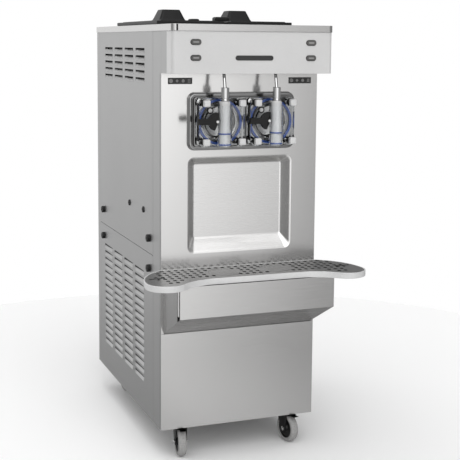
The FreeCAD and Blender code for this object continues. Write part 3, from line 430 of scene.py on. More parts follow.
def piece(name, bm, slot, body, *nodes, angle=35, outward=True):
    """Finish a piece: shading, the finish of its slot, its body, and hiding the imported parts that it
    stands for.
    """
    if outward:
        bmesh.ops.recalc_face_normals(bm, faces=bm.faces)
    mesh = bpy.data.meshes.new(name)
    bm.to_mesh(mesh)
    bm.free()
    mesh.shade_smooth()
    mesh.set_sharp_from_angle(angle=math.radians(angle))
    mesh.materials.append(FINISHES[slot])
    made = bpy.data.objects.new(name, mesh)
    bpy.context.scene.collection.objects.link(made)
    flats = made.modifiers.new("flat_sheets", "WEIGHTED_NORMAL")
    flats.weight = 100
    flats.keep_sharp = True
    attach(made, body)
    if nodes:
        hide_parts(*nodes)
    print(f"{name}: {len(mesh.polygons)} faces")
    return made


# %% [markdown]
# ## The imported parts
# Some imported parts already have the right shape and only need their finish. They are given it here, all
# at once, and the cells that follow replace the others by name.

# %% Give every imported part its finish
for node, item in frame["nodes"].items():
    item.data.materials.clear()
    item.data.materials.append(FINISHES[slot_of[node]])
print(len(frame["nodes"]), "parts have a finish")

# %% [markdown]
# ## The side sheets
# Each side is two sheets with pressed air slots: five rows high up and fifteen rows low down. A press tool
# pushes the metal in below each slit, so the slit is dark and the sloped metal under it catches the light.
# The sheet is one face cut along every slot's edges with bisect planes, which keeps the faces few and
# flat, and each scoop is a small grid bent by a formula.

# %% Press the side sheets
BODY_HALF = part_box("side_panels")[1].x
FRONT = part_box("front_panel")[1].y - 32 * MM
SHEET = 2 * MM
VENTS = {"columns": 4, "rows": 5, "first_y": 249 * MM, "pitch_y": 144.5 * MM, "length": 114 * MM,
         "first_z": 1289 * MM, "pitch_z": 25.5 * MM, "slit": 7 * MM, "scoop": 10 * MM, "depth": 8 * MM}
LOUVRES = {"columns": 4, "rows": 15, "first_y": 261 * MM, "pitch_y": 146 * MM, "length": 118 * MM,
           "first_z": 231 * MM, "pitch_z": 27.3 * MM, "slit": 8 * MM, "scoop": 11 * MM, "depth": 7 * MM}


def scoop(length, height, depth):
    """The sloped metal under a slit: flush at its foot, deep at its top, with closed ends."""
    bm = bmesh.new()
    bmesh.ops.create_grid(bm, x_segments=12, y_segments=3, size=0.5)
    for vert in bm.verts:
        along, up = 2 * vert.co.x, vert.co.y + 0.5
        sink = depth * up * (1 - abs(along) ** 9)
        vert.co = (sink, along * length / 2, up * height)
    return bm


def pressed_sheet(side, node, slots):
    """One side sheet with its field of pressed slots."""
    low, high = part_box(node)
    x = side * BODY_HALF
    windows = []
    for column in range(slots["columns"]):
        middle = FRONT + slots["first_y"] + column * slots["pitch_y"]
        for row in range(slots["rows"]):
            top = slots["first_z"] + row * slots["pitch_z"] + slots["slit"] / 2
            windows.append((middle - slots["length"] / 2, middle + slots["length"] / 2,
                            top - slots["slit"] - slots["scoop"], top))
    bm = bmesh.new()
    edge = [(low.y, low.z), (high.y, low.z), (high.y, high.z), (low.y, high.z)]
    bm.faces.new([bm.verts.new((x, y, z)) for y, z in edge])
    for y in sorted({end for window in windows for end in window[:2]}):
        bmesh.ops.bisect_plane(bm, geom=[*bm.verts, *bm.edges, *bm.faces], plane_co=(x, y, 0),
                               plane_no=(0, 1, 0))
    for z in sorted({end for window in windows for end in window[2:]}):
        bmesh.ops.bisect_plane(bm, geom=[*bm.verts, *bm.edges, *bm.faces], plane_co=(x, 0, z),
                               plane_no=(0, 0, 1))

    def open_here(point):
        """True inside any slot."""
        return any(a < point.y < b and c < point.z < d for a, b, c, d in windows)

    bmesh.ops.delete(bm, geom=[face for face in bm.faces if open_here(face.calc_center_median())],
                     context="FACES")
    thickened(bm, (-side * SHEET, 0, 0))
    scoops = []
    for start, end, foot, top in windows:
        press = scoop(end - start, slots["scoop"], slots["depth"])
        bmesh.ops.scale(press, vec=(-side, 1, 1), verts=press.verts)
        bmesh.ops.translate(press, vec=(x, (start + end) / 2, foot), verts=press.verts)
        bmesh.ops.solidify(press, geom=list(press.faces), thickness=0.8 * MM)
        scoops.append(press)
    return joined(bm, *scoops)


upper = joined(*[pressed_sheet(side, "side_panels", VENTS) for side in SIDES.values()])
piece("vented_side_sheets", upper, "side_steel", "cabinet", "side_panels")
lower = joined(*[pressed_sheet(side, "louvre_panels", LOUVRES) for side in SIDES.values()])
piece("louvred_side_sheets", lower, "side_steel", "cabinet", "louvre_panels")

# %% [markdown]
# A black filter mat hangs behind each field of slots, its black partly standing for the shade inside. A
# black strip that tapers to the front lines each louvre's slit: painted shade, so nothing bright shows
# through.

# %% Hang the filter mats and the painted slit shade
MAT_IN, MAT_THICK, MAT_BELOW, MAT_SHORT = 18 * MM, 4 * MM, 30 * MM, 40 * MM
# The slit strips are painted shade: black where only the slit's shadow falls.
SHADE_STRIP_IN, SHADE_STRIP_OUT, SHADE_STRIP_HALF, SHADE_STRIP_FRONT_SHARE = 5 * MM, 1.2 * MM, 58 * MM, 0.45


def side_slab(side, near, far, low, high, radius):
    """A slab on one side, from near to far off the middle plane; low and high are (y, z)."""
    inner, outer = sorted((side * near, side * far))
    return slab((inner, *low), (outer, *high), radius, 1)


mats_and_shade_strips = []
for side in SIDES.values():
    for slots in (VENTS, LOUVRES):
        start = FRONT + slots["first_y"] - slots["length"] + MAT_SHORT
        end = (FRONT + slots["first_y"] + (slots["columns"] - 1) * slots["pitch_y"] + slots["length"]
               - MAT_SHORT)
        head = slots["first_z"] + slots["rows"] * slots["pitch_z"]
        mats_and_shade_strips.append(side_slab(side, BODY_HALF - MAT_IN, BODY_HALF - MAT_IN + MAT_THICK,
                              (start, slots["first_z"] - MAT_BELOW), (end, head), 1 * MM))
# Painted shade: a black strip in each louvre's slit, made thinner towards the front.
for side in SIDES.values():
    for column in range(LOUVRES["columns"]):
        y = FRONT + LOUVRES["first_y"] + column * LOUVRES["pitch_y"]
        for row in range(LOUVRES["rows"]):
            head = LOUVRES["first_z"] + row * LOUVRES["pitch_z"] + LOUVRES["slit"] / 2 - 0.2 * MM
            slit_shade_strip = side_slab(side, BODY_HALF - SHADE_STRIP_IN, BODY_HALF - SHADE_STRIP_OUT,
                              (y - SHADE_STRIP_HALF, head - LOUVRES["slit"]), (y + SHADE_STRIP_HALF, head), 0.4 * MM)
            for vert in slit_shade_strip.verts:
                back = 0.5 + (vert.co.y - y) / (2 * SHADE_STRIP_HALF)
                share = SHADE_STRIP_FRONT_SHARE + (1 - SHADE_STRIP_FRONT_SHARE) * back
                vert.co.z = head - (head - vert.co.z) * share
            mats_and_shade_strips.append(slit_shade_strip)
piece("filter_mats_and_slit_shade", joined(*mats_and_shade_strips), "machine_black", "cabinet")

# %% [markdown]
# The corner posts, the back, the drip box, the head's sleeve, the top band and the base are plain folded
# sheet.
# A copy of each imported part with its folds rounded is all they need; the lower front, also plain sheet, is
# a slab made with the front panel.

# %% Soften the folded sheets
FOLDED = [("corner_post_strips", "corner_posts", 1.2), ("rear_sheet", "rear_panel", 0.4),
          ("drip_box_shell", "drip_box", 0.6), ("drip_box_fascia", "drip_box_front", 0.8),
          ("head_sleeve", "head_housing", 0.5), ("top_band", "top_cover", 0.7),
          ("base_pan", "base_frame", 0.8)]
# The drip box's shell takes the darker steel, a painted shade.
OWN_FINISH = {"head_sleeve": "side_steel", "drip_box_shell": "box_steel"}
for name, node, radius in FOLDED:
    piece(name, softened(node, radius * MM), OWN_FINISH.get(name, slot_of[node]), "cabinet", node)

# %% [markdown]
# Two small lines finish the folds: a dark seam down each corner post's side, and a strip of brighter steel
# on each side of the drip box by its front, a painted highlight where the front turns back along the side.

# %% Add the seams and the painted highlight strips
SEAM_LOW, SEAM_HIGH = (FRONT + 9 * MM, 110 * MM), (FRONT + 10.2 * MM, 1312 * MM)
HIGHLIGHT_STRIP_LOW, HIGHLIGHT_STRIP_HIGH = (FRONT - 168 * MM, 541 * MM), (FRONT - 154 * MM, 637 * MM)
seams = [side_slab(side, BODY_HALF, BODY_HALF + 0.3 * MM, SEAM_LOW, SEAM_HIGH, 0.1 * MM)
         for side in SIDES.values()]
piece("post_seams", joined(*seams), "machine_black", "cabinet")
# Painted highlight: a strip of brighter steel on each side of the drip box, near its front.
box_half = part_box("drip_box")[1].x
edges = [side_slab(side, box_half, box_half + 1 * MM, HIGHLIGHT_STRIP_LOW, HIGHLIGHT_STRIP_HIGH, 0.3 * MM)
         for side in SIDES.values()]
piece("drip_box_painted_highlight_strips", joined(*edges), "recess_steel", "cabinet")

# %% [markdown]
# ## The front panel
# The panel is one sheet with a shallow stamped recess behind the cups. A stamping has soft corners and
# sloping walls, and this one has a deeper ledge along the bottom. The recess grows from one rounded face
# by insets, each a little further in and back, so that its walls curve as drawn metal does.

# %% Stamp the front panel
def rounded_face(low_x, high_x, low_z, high_z, y, radius, segments=8):
    """One flat face to the front with rounded corners."""
    bm = bmesh.new()
    corners = [bm.verts.new((x, y, z)) for x, z in
               ((low_x, low_z), (high_x, low_z), (high_x, high_z), (low_x, high_z))]
    bm.faces.new(corners)
    bmesh.ops.bevel(bm, geom=corners, offset=radius, offset_type="OFFSET", segments=segments,
                    profile=0.5, affect="VERTICES", material=-1)
    return bm


def stepped(bm, steps):
    """Inset the first face again and again; each step is how far in, and how far forwards."""
    bm.faces.ensure_lookup_table()
    face = bm.faces[0]
    for inwards, forwards in steps:
        bmesh.ops.inset_region(bm, faces=[face], thickness=inwards, use_boundary=True,
                               use_even_offset=True)
        bmesh.ops.translate(bm, vec=(0, -forwards, 0), verts=face.verts)


def curve_steps(run, rise, count, lead):
    """A quarter wave split in steps: it starts or ends flat by which of run and rise leads."""
    marks = [math.radians(90 * index / count) for index in range(count + 1)]
    across = [math.sin(mark) if lead == "run" else 1 - math.cos(mark) for mark in marks]
    down = [1 - math.cos(mark) if lead == "run" else math.sin(mark) for mark in marks]
    return [((across[index + 1] - across[index]) * run, (down[index + 1] - down[index]) * rise)
            for index in range(count)]


RECESS_HALF, RECESS_LOW, RECESS_HIGH, RECESS_DEPTH = 188 * MM, 710 * MM, 1036 * MM, 30 * MM
RECESS_INSET, RECESS_DRAFT, RECESS_SILL, RECESS_CORNER = 21 * MM, 32 * MM, 54 * MM, 24 * MM
SKIN, SKIN_HALF, SKIN_THICK = FRONT - 0.8 * MM, BODY_HALF + 0.2 * MM, 1.5 * MM
panel_low, panel_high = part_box("front_panel")
lip = curve_steps(6 * MM, -5 * MM, 4, "run")
foot = curve_steps(6 * MM, -4 * MM, 4, "rise")
wall = [((RECESS_INSET - 12 * MM) / 3, -(RECESS_DEPTH - 9 * MM) / 3)] * 3
recess = rounded_face(-RECESS_HALF, RECESS_HALF, RECESS_LOW, RECESS_HIGH, SKIN, RECESS_CORNER)
stepped(recess, lip + wall + foot)
for vert in recess.verts:
    inward = (vert.co.y - SKIN) / RECESS_DEPTH
    below = (RECESS_HIGH - vert.co.z) / (RECESS_HIGH - RECESS_LOW)
    more = RECESS_DRAFT - RECESS_INSET
    vert.co.x *= 1 - more * inward / (RECESS_HALF - RECESS_INSET)
    vert.co.z += inward * ((RECESS_SILL - RECESS_INSET) * below - more * (1 - below))
print("recess depth", max(vert.co.y for vert in recess.verts) - SKIN, len(recess.faces), "faces")
mouth = rounded_face(-RECESS_HALF, RECESS_HALF, RECESS_LOW, RECESS_HIGH, FRONT - 10 * MM, RECESS_CORNER)
thickened(mouth, (0, 20 * MM, 0))
sheet = slab((-SKIN_HALF, SKIN, panel_low.z), (SKIN_HALF, SKIN + SKIN_THICK, panel_high.z), 0.4 * MM, 1)
COLUMN_X, COLUMN_Z, BARREL_RADIUS = 90 * MM, 1155 * MM, 63 * MM


def barrel_cutters(radius):
    """Two cylinders through the front, one for each freezing barrel."""
    return joined(*[cylinder(radius, -60 * MM, 60 * MM, (side * COLUMN_X, FRONT, COLUMN_Z), "Y")
                    for side in SIDES.values()])


sheet = carved(carved(sheet, mouth), barrel_cutters(BARREL_RADIUS + 8 * MM))
piece("stamped_front_panel", sheet, "front_steel", "cabinet", "front_panel", angle=25)
# The recess takes the brighter steel, a painted highlight.
piece("stamped_recess", recess, "recess_steel", "cabinet", "front_panel", angle=40, outward=False)
lower_low, lower_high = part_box("lower_front_panel")
lower = slab((-SKIN_HALF, SKIN, lower_low.z), (SKIN_HALF, SKIN + SKIN_THICK, lower_high.z), 0.5 * MM, 2)
piece("lower_front_sheet", lower, "front_steel", "cabinet", "lower_front_panel")

# %% [markdown]
# ## The polished surround
# The doors clamp against a raised panel with a mirror finish. Its edge climbs in two steps with a groove
# between them, and each curve gathers its own dark and bright lines from the room.

# %% Form the surround
surround_low, surround_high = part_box("door_surround")
SURROUND_CORNER = 26 * MM
bm = rounded_face(surround_low.x + 2 * MM, surround_high.x - 2 * MM, surround_low.z + 2 * MM,
                  surround_high.z - MM, FRONT, SURROUND_CORNER, 12)
flank = (curve_steps(2 * MM, 4 * MM, 3, "run") + [(1.5 * MM, 9 * MM)]
         + curve_steps(3.5 * MM, 4 * MM, 4, "rise"))
groove = [(2 * MM, 0), (1 * MM, -2.5 * MM), (1 * MM, 0), (1 * MM, 2.5 * MM), (1.5 * MM, 0)]
second = (curve_steps(1.2 * MM, 2.5 * MM, 2, "run") + [(1.2 * MM, 8 * MM)]
          + curve_steps(2.6 * MM, 2.5 * MM, 3, "rise"))
stepped(bm, flank + groove + second)
open_back = [edge for edge in bm.edges if len(edge.link_faces) == 1]
bmesh.ops.contextual_create(bm, geom=open_back)
bmesh.ops.recalc_face_normals(bm, faces=bm.faces)
bm = carved(bm, barrel_cutters(BARREL_RADIUS + 0.5 * MM))
piece("polished_door_surround", bm, "polished_steel", "cabinet", "door_surround", angle=40)
RIBS = [(-6.2 * MM, 1.4 * MM, 3 * MM), (0, 3 * MM, 6 * MM), (6.2 * MM, 1.4 * MM, 3 * MM)]
RIB_SHORT = 22 * MM
ribs = [slab((across - half, surround_low.y - tall, surround_low.z + RIB_SHORT),
             (across + half, surround_low.y + 1 * MM, surround_high.z - RIB_SHORT), half * 0.9, 4)
        for across, half, tall in RIBS]
piece("surround_middle_ribs", joined(*ribs), "polished_steel", "cabinet")

# %% [markdown]
# ## The head
# The white cover wraps round two front corners. It holds four oval press buttons, each in a thin bezel,
# and a blank plate where a maker would put a badge. Below it, two dark strips on the steel carry plain
# symbols for the buttons.

# %% Mould the head cover and its buttons
piece("white_head_cover", softened("head_cover", 1.2 * MM, 3), "white_cover", "cabinet", "head_cover")
COVER_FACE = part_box("head_cover")[0].y


def oval(centre, half_length, half_height, y_front, y_back, radius):
    """A slab with round ends, its face to the front, with a rounded edge."""
    bm = rounded_face(centre.x - half_length, centre.x + half_length, centre.z - half_height,
                      centre.z + half_height, y_front, half_height * 0.999, 8)
    bmesh.ops.remove_doubles(bm, verts=bm.verts, dist=0.01 * MM)
    thickened(bm, (0, y_back - y_front, 0))
    crown = [edge for edge in bm.edges if all(abs(vert.co.y - y_front) < 1e-6 for vert in edge.verts)]
    return rounded(bm, crown, radius, 3)


def middle(node):
    """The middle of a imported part's box."""
    low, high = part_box(node)
    return (low + high) / 2


for side_name, side in SIDES.items():
    for row in ("upper", "lower"):
        node = f"button_{row}_{side_name}"
        low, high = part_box(node)
        centre, half, tall = middle(node), (high.x - low.x) / 2, (high.z - low.z) / 2
        cap = oval(centre, half, tall, low.y, high.y, 1.2 * MM)
        piece(f"press_{row}_{side_name}_cap", cap, "button_grey", node, node)
        mark = oval(centre, half * 0.60, tall * 0.30, low.y - 0.3 * MM, low.y + 1 * MM, 0.2 * MM)
        piece(f"press_{row}_{side_name}_bar", mark, "symbol_grey", node)
        bezel = carved(oval(centre, half + 2 * MM, tall + 2 * MM, COVER_FACE - 1 * MM,
                            COVER_FACE + 1 * MM, 0.6 * MM),
                       oval(centre, half + 0.7 * MM, tall + 0.7 * MM, COVER_FACE - 3 * MM,
                            COVER_FACE + 3 * MM, 0.1 * MM))
        piece(f"press_{row}_{side_name}_bezel", bezel, "button_bezel", "cabinet")

PLATE_MIDDLE, PLATE_HALF, PLATE_TALL = Vector((0, 0, 1366 * MM)), 66 * MM, 8 * MM
plate = oval(PLATE_MIDDLE, PLATE_HALF, PLATE_TALL, COVER_FACE - 1.2 * MM, COVER_FACE + 0.5 * MM, 0.7 * MM)
piece("blank_name_plate", plate, "plate_black", "cabinet")

# Painted reflection: a dark strip on the band's front by its left corner only.
DARK_REFLECTION_X, DARK_REFLECTION_HALF = -BODY_HALF + 16 * MM, 3 * MM
band_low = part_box("top_cover")[0]
corner_reflection_strip = slab((DARK_REFLECTION_X - DARK_REFLECTION_HALF, band_low.y - 0.5 * MM, band_low.z + 1 * MM),
            (DARK_REFLECTION_X + DARK_REFLECTION_HALF, band_low.y + 1 * MM, band_low.z + 21 * MM), 0.4 * MM, 1)
piece("band_corner_painted_reflection", corner_reflection_strip, "machine_black", "cabinet")

# %% [markdown]
# The symbols are plain shapes: a ring, a square stood on its corner, a disc and three bars. They are
# raised a quarter of a millimetre, as printing under a clear film looks.

# %% Print the symbol strips
STRIP_X, STRIP_Z, STRIP_HALF, STRIP_TALL = 215 * MM, 1289 * MM, 42 * MM, 10.5 * MM


def disc(x, z, radius, y, steps=24):
    """A thin disc that faces the front."""
    return cylinder(radius, 0, 0.5 * MM, (x, y, z), "Y", steps)


for side_name, side in SIDES.items():
    x = side * STRIP_X
    y = SKIN - 0.6 * MM
    strip = slab((x - STRIP_HALF, y, STRIP_Z - STRIP_TALL), (x + STRIP_HALF, FRONT + 0.2 * MM,
                 STRIP_Z + STRIP_TALL), 0.25 * MM, 1)
    piece(f"symbol_strip_{side_name}", strip, "plate_black", "cabinet")
    face_y = y - 0.25 * MM
    pitch = STRIP_HALF / 2
    places = [x + (index - 1.5) * pitch for index in range(4)]
    ring = carved(disc(places[0], STRIP_Z, 6.5 * MM, face_y), disc(places[0], STRIP_Z, 4.2 * MM,
                  face_y - 1 * MM))
    drop = disc(places[1], STRIP_Z, 5.5 * MM, face_y, 4)
    dot = disc(places[2], STRIP_Z, 5.2 * MM, face_y)
    bars = [slab((places[3] - 5 * MM, face_y, STRIP_Z + rise - 1.1 * MM),
                 (places[3] + 5 * MM, face_y + 0.5 * MM, STRIP_Z + rise + 1.1 * MM), 0.2 * MM, 1)
            for rise in (-4 * MM, 0, 4 * MM)]
    piece(f"symbols_{side_name}", joined(ring, drop, dot, *bars), "symbol_grey", "cabinet")

# %% [markdown]
# ## The clear doors
# Each door is one block of clear acrylic: a square plate with soft corners, a round plug that fills the
# barrel's mouth, and the draw spout in front. The shapes are joined and bored as solids, because glass
# shows every hidden face inside it.

# %% Cast the doors
SPOUT_FACE, SPOUT_RADIUS, SPOUT_BORE = FRONT - 91 * MM, 23.5 * MM, 21 * MM
SPOUT_LOW, SPOUT_HIGH = 1077 * MM, 1212 * MM
DOOR_FACE, DOOR_BACK, DOOR_HALF = FRONT - 62.5 * MM, FRONT - 36.5 * MM, 80 * MM
DOOR_CORNER, PLUG_RADIUS, PLUG_DEEP, WELL_RADIUS = 16 * MM, 57.5 * MM, 27 * MM, 51 * MM
SPOUT_X, LUG_BESIDE, LUG_HALF = COLUMN_X + 1 * MM, 29 * MM, 8 * MM
for name, side in SIDES.items():
    x, spout_x = side * COLUMN_X, side * SPOUT_X
    plate = rounded_face(x - DOOR_HALF, x + DOOR_HALF, COLUMN_Z - DOOR_HALF, COLUMN_Z + DOOR_HALF,
                         DOOR_FACE, DOOR_CORNER, 6)
    thickened(plate, (0, DOOR_BACK - DOOR_FACE, 0))
    rounded(plate, [edge for edge in plate.edges if abs(edge.verts[0].co.y - edge.verts[1].co.y) < 1e-6],
            2 * MM, 3)
    plug = lathed([(0, 0), (PLUG_RADIUS, 0), (PLUG_RADIUS, PLUG_DEEP - 2 * MM),
                   (PLUG_RADIUS - 2 * MM, PLUG_DEEP), (0, PLUG_DEEP)],
                  (x, DOOR_BACK - 1 * MM, COLUMN_Z), "Y", 64)
    spout = lathed([(0, SPOUT_LOW), (SPOUT_RADIUS - 1 * MM, SPOUT_LOW), (SPOUT_RADIUS, SPOUT_LOW + MM),
                    (SPOUT_RADIUS, SPOUT_HIGH - MM), (SPOUT_RADIUS - MM, SPOUT_HIGH), (0, SPOUT_HIGH)],
                   (spout_x, SPOUT_FACE, 0), "Z", 64)
    web = slab((spout_x - 14 * MM, SPOUT_FACE, SPOUT_LOW + 2 * MM),
               (spout_x + 14 * MM, DOOR_FACE + 4 * MM, SPOUT_HIGH - 2 * MM), 1.5 * MM)
    lug_x = spout_x - LUG_BESIDE
    lug = slab((lug_x - LUG_HALF, FRONT - 87.5 * MM, 1151 * MM),
               (lug_x + LUG_HALF, DOOR_FACE + 4 * MM, 1169 * MM), 2 * MM)
    bore = cylinder(SPOUT_BORE, SPOUT_LOW - 5 * MM, SPOUT_HIGH + 5 * MM, (spout_x, SPOUT_FACE, 0))
    well = cylinder(WELL_RADIUS, 0, 40 * MM, (x, DOOR_BACK + 4 * MM, COLUMN_Z), "Y")
    body = carved(plate, plug, "UNION")
    for extra in (spout, web, lug):
        body = carved(body, extra, "UNION")
    body = carved(carved(body, bore), well)
    piece(f"clear_door_{name}", body, "clear_plastic", "cabinet", f"door_{name}", angle=30)

# %% [markdown]
# The door is held by four studs, each with a square white cap on a dark, flared stem. A small white
# plug closes the air vent in the door's upper corner, and a bright pin stands beside the spout.

# %% Fit the knobs, the vent plug and the pin
KNOB_FACE, KNOB_BACK, KNOB_HALF = FRONT - 96 * MM, FRONT - 78 * MM, 11 * MM
KNOB_ACROSS, KNOB_UP = 62 * MM, 63.5 * MM
VENT_BESIDE, VENT_Z = 42 * MM, 1194 * MM
caps, stems, vent_plugs, vent_rings, pins = [], [], [], [], []
for side in SIDES.values():
    for across in (-1, 1):
        for up in (-1, 1):
            x, z = side * COLUMN_X + across * KNOB_ACROSS, COLUMN_Z + up * KNOB_UP
            caps.append(slab((x - KNOB_HALF, KNOB_FACE, z - KNOB_HALF),
                             (x + KNOB_HALF, KNOB_BACK, z + KNOB_HALF), 4 * MM, 4))
            run = DOOR_FACE - KNOB_BACK
            stem = lathed([(0, 0), (6 * MM, 0), (6 * MM, run * 0.2), (9 * MM, run * 0.6),
                           (13 * MM, run * 0.9), (13 * MM, run), (0, run)], (x, KNOB_BACK, z), "Y", 12)
            stems.append(stem)
    x, z = side * COLUMN_X - VENT_BESIDE, VENT_Z
    vent_plugs.append(lathed([(0, -5 * MM), (5.5 * MM, -5 * MM), (7 * MM, -3.5 * MM), (7 * MM, 0), (0, 0)],
                             (x, DOOR_FACE, z), "Y", 32))
    vent_rings.append(lathed([(7 * MM, -1.5 * MM), (11 * MM, -1.5 * MM), (11 * MM, 0.2 * MM),
                              (7 * MM, 0.2 * MM), (7 * MM, -1.5 * MM)], (x, DOOR_FACE, z), "Y", 32))
    pin_x = side * SPOUT_X - 27 * MM
    pins.append(lathed([(0, 1172 * MM), (2.2 * MM, 1172 * MM), (2.2 * MM, 1194 * MM), (1 * MM, 1195 * MM),
                        (0, 1195 * MM)], (pin_x, DOOR_FACE - 26 * MM, 0), "Z", 24))
piece("knob_caps", joined(*caps), "white_plastic", "cabinet", "door_knobs")
piece("knob_stems", joined(*stems), "black_plastic", "cabinet", "door_knobs")
piece("vent_plugs", joined(*vent_plugs), "white_plastic", "cabinet")
piece("vent_plug_rings", joined(*vent_rings), "black_plastic", "cabinet")
piece("spout_side_pins", joined(*pins), "chrome", "cabinet")

# %% [markdown]
# ## The draw valves
# A white plunger closes each spout. Two blue rings seal it, and a slanted slot near its middle takes the
# lever's nose. Three slanted bisect planes mark the slot, and the middle loop is drawn in.

# %% Turn the plungers
ROD_RADIUS = 5.5 * MM
ROD_FOOT = Vector((SPOUT_FACE, 1262 * MM))
ROD_TOP = Vector((FRONT - 72 * MM, 1343 * MM))
SLOT_Z, SLOT_TALL, SLOT_SLANT = 1170 * MM, 1.6 * MM, Vector((-0.5, 0.0, 0.87))
COUPLING = [(0, 1225), (12, 1225), (13.5, 1226.5), (13.5, 1231), (12.6, 1232.2), (12.6, 1234),
            (13.5, 1235.2), (13.5, 1269), (12.5, 1270), (10.5, 1270), (9.5, 1269), (9.5, 1262), (0, 1262)]
for name, side in SIDES.items():
    x = side * SPOUT_X
    low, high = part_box(f"draw_plunger_{name}")
    skirt, neck, groove = 18.2 * MM, 17 * MM, 16.2 * MM
    profile = [(0, low.z), (skirt - MM, low.z), (skirt, low.z + MM)]
    for ring_z in (1084.5 * MM, 1120 * MM):
        profile += [(skirt, ring_z - 2.3 * MM), (groove, ring_z - 2.3 * MM), (groove, ring_z + 2.3 * MM),
                    (skirt, ring_z + 2.3 * MM)]
    profile += [(skirt, 1132 * MM), (neck, 1136 * MM), (neck, high.z - 1.5 * MM),
                (neck - 1.5 * MM, high.z), (0, high.z)]
    bm = lathed(profile, (0, 0, 0), "Z", 64)
    for rise in (0, SLOT_TALL, SLOT_TALL / 2):
        bmesh.ops.bisect_plane(bm, geom=[*bm.verts, *bm.edges, *bm.faces],
                               plane_co=(0, 0, SLOT_Z + rise), plane_no=SLOT_SLANT)
    for vert in bm.verts:
        off = (vert.co - Vector((0, 0, SLOT_Z + SLOT_TALL / 2))).dot(SLOT_SLANT)
        if abs(off) < 0.2 * MM and vert.co.y < 0:
            vert.co.x *= 0.92
            vert.co.y *= 0.92
    bmesh.ops.translate(bm, vec=(x, SPOUT_FACE, 0), verts=bm.verts)
    piece(f"plunger_{name}", bm, "white_plastic", f"draw_valve_{name}", f"draw_plunger_{name}")
    coupling = lathed([(radius * MM, z * MM) for radius, z in COUPLING], (x, SPOUT_FACE, 0))
    run, rise = ROD_TOP - ROD_FOOT
    rod = cylinder(ROD_RADIUS, 0, math.hypot(run, rise), steps=32)
    bmesh.ops.rotate(rod, cent=(0, 0, 0), matrix=Matrix.Rotation(-math.atan2(run, rise), 3, "X"),
                     verts=rod.verts)
    bmesh.ops.translate(rod, vec=(x, ROD_FOOT.x, ROD_FOOT.y), verts=rod.verts)
    piece(f"coupling_and_rod_{name}", joined(coupling, rod), "chrome", f"draw_valve_{name}",
          f"lift_rod_{name}")
    piece(f"lever_{name}", softened(f"draw_lever_{name}", 1.4 * MM, 3, 50), "black_plastic",
          f"draw_lever_{name}", f"draw_lever_{name}")

# %% [markdown]
# ## Inside the barrels
# Through the clear doors one sees the dasher's front: a bright steel hub ring with white scraper blades.
# It turns with the beater, so it rides on it.

# %% Build the dasher fronts
for name, side in SIDES.items():
    x = side * COLUMN_X
    centre = (x, FRONT + 9 * MM, COLUMN_Z)
    plate = lathed([(11 * MM, 0), (49 * MM, 0), (50 * MM, MM), (50 * MM, 3 * MM), (11 * MM, 3 * MM),
                    (11 * MM, 0)], centre, "Y", 64)
    hub = lathed([(0, -9 * MM), (12 * MM, -9 * MM), (15 * MM, -5 * MM), (15 * MM, 4 * MM), (0, 4 * MM)],
                 centre, "Y", 48)
    piece(f"dasher_front_{name}", joined(plate, hub), "bright_steel", f"beater_{name}")
    piece(f"dasher_blades_{name}", softened(f"beater_{name}", 1.5 * MM, 2, 50), "beater_white",
          f"beater_{name}", f"beater_{name}")

# %% [markdown]
# ## The drip tray
# The tray is a glossy white moulding with a rounded rim and two broad lobes. The grid that drops into it
# is punched steel: rows of small square holes with clipped corners, two plain discs to stand a cup on,
# and plain ends with a cross-shaped finger slot. The holes are one boolean with one mesh of punches. The
# back edges of both stay a little clear of the front sheet, so that they lift off freely.

# %% Punch the grid
TRAY_BACK, GRID_BACK = FRONT - 1.6 * MM, FRONT - 2.2 * MM
tray = softened("drip_tray", 1.3 * MM, 3, 50)
for vert in tray.verts:
    vert.co.y = min(vert.co.y, TRAY_BACK)
piece("white_drip_tray", tray, "tray_white", "drip_tray", "drip_tray")
grid_low, grid_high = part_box("drip_grid")
HOLE_PITCH_X, HOLE_X, HOLE_Y = 23.6 * MM, 13 * MM, 16 * MM
ROWS = [FRONT - reach * MM for reach in (22, 50, 78, 106, 134, 164, 193)]
DISC_RADIUS, DISC_X, DISC_Y = 52 * MM, 91 * MM, FRONT - 91 * MM
PLAIN_END, SLOT_X, SLOT_Y = 312 * MM, 330 * MM, FRONT - 120 * MM
SLOT_ARMS = [(26 * MM, 5 * MM), (5 * MM, 22 * MM)]
LOBE_X, LOBE_Y, LOBE_RADIUS = 315 * MM, FRONT - 175 * MM, 58 * MM
WAIST_HALF, WAIST_Y = 240 * MM, FRONT - 150 * MM


def punch(x, y):
    """One punch through the grid, a square with clipped corners."""
    bm = bmesh.new()
    bmesh.ops.create_cone(bm, cap_ends=True, segments=8, radius1=0.5412, radius2=0.5412, depth=1)
    bmesh.ops.rotate(bm, cent=(0, 0, 0), matrix=Matrix.Rotation(math.radians(22.5), 3, "Z"),
                     verts=bm.verts)
    bmesh.ops.scale(bm, vec=(HOLE_X, HOLE_Y, 12 * MM), verts=bm.verts)
    bmesh.ops.translate(bm, vec=(x, y, grid_high.z), verts=bm.verts)
    return bm


def on_plain_disc(x, y):
    """True where a cup stands."""
    return any(math.hypot(x - side * DISC_X, y - DISC_Y) < DISC_RADIUS + 5 * MM for side in SIDES.values())


def near_edge(x, y):
    """True where the lobes or the front edge leave no room for a hole."""
    lobe = math.hypot(abs(x) - LOBE_X, y - LOBE_Y)
    return y < WAIST_Y and (abs(x) < WAIST_HALF or lobe > LOBE_RADIUS)


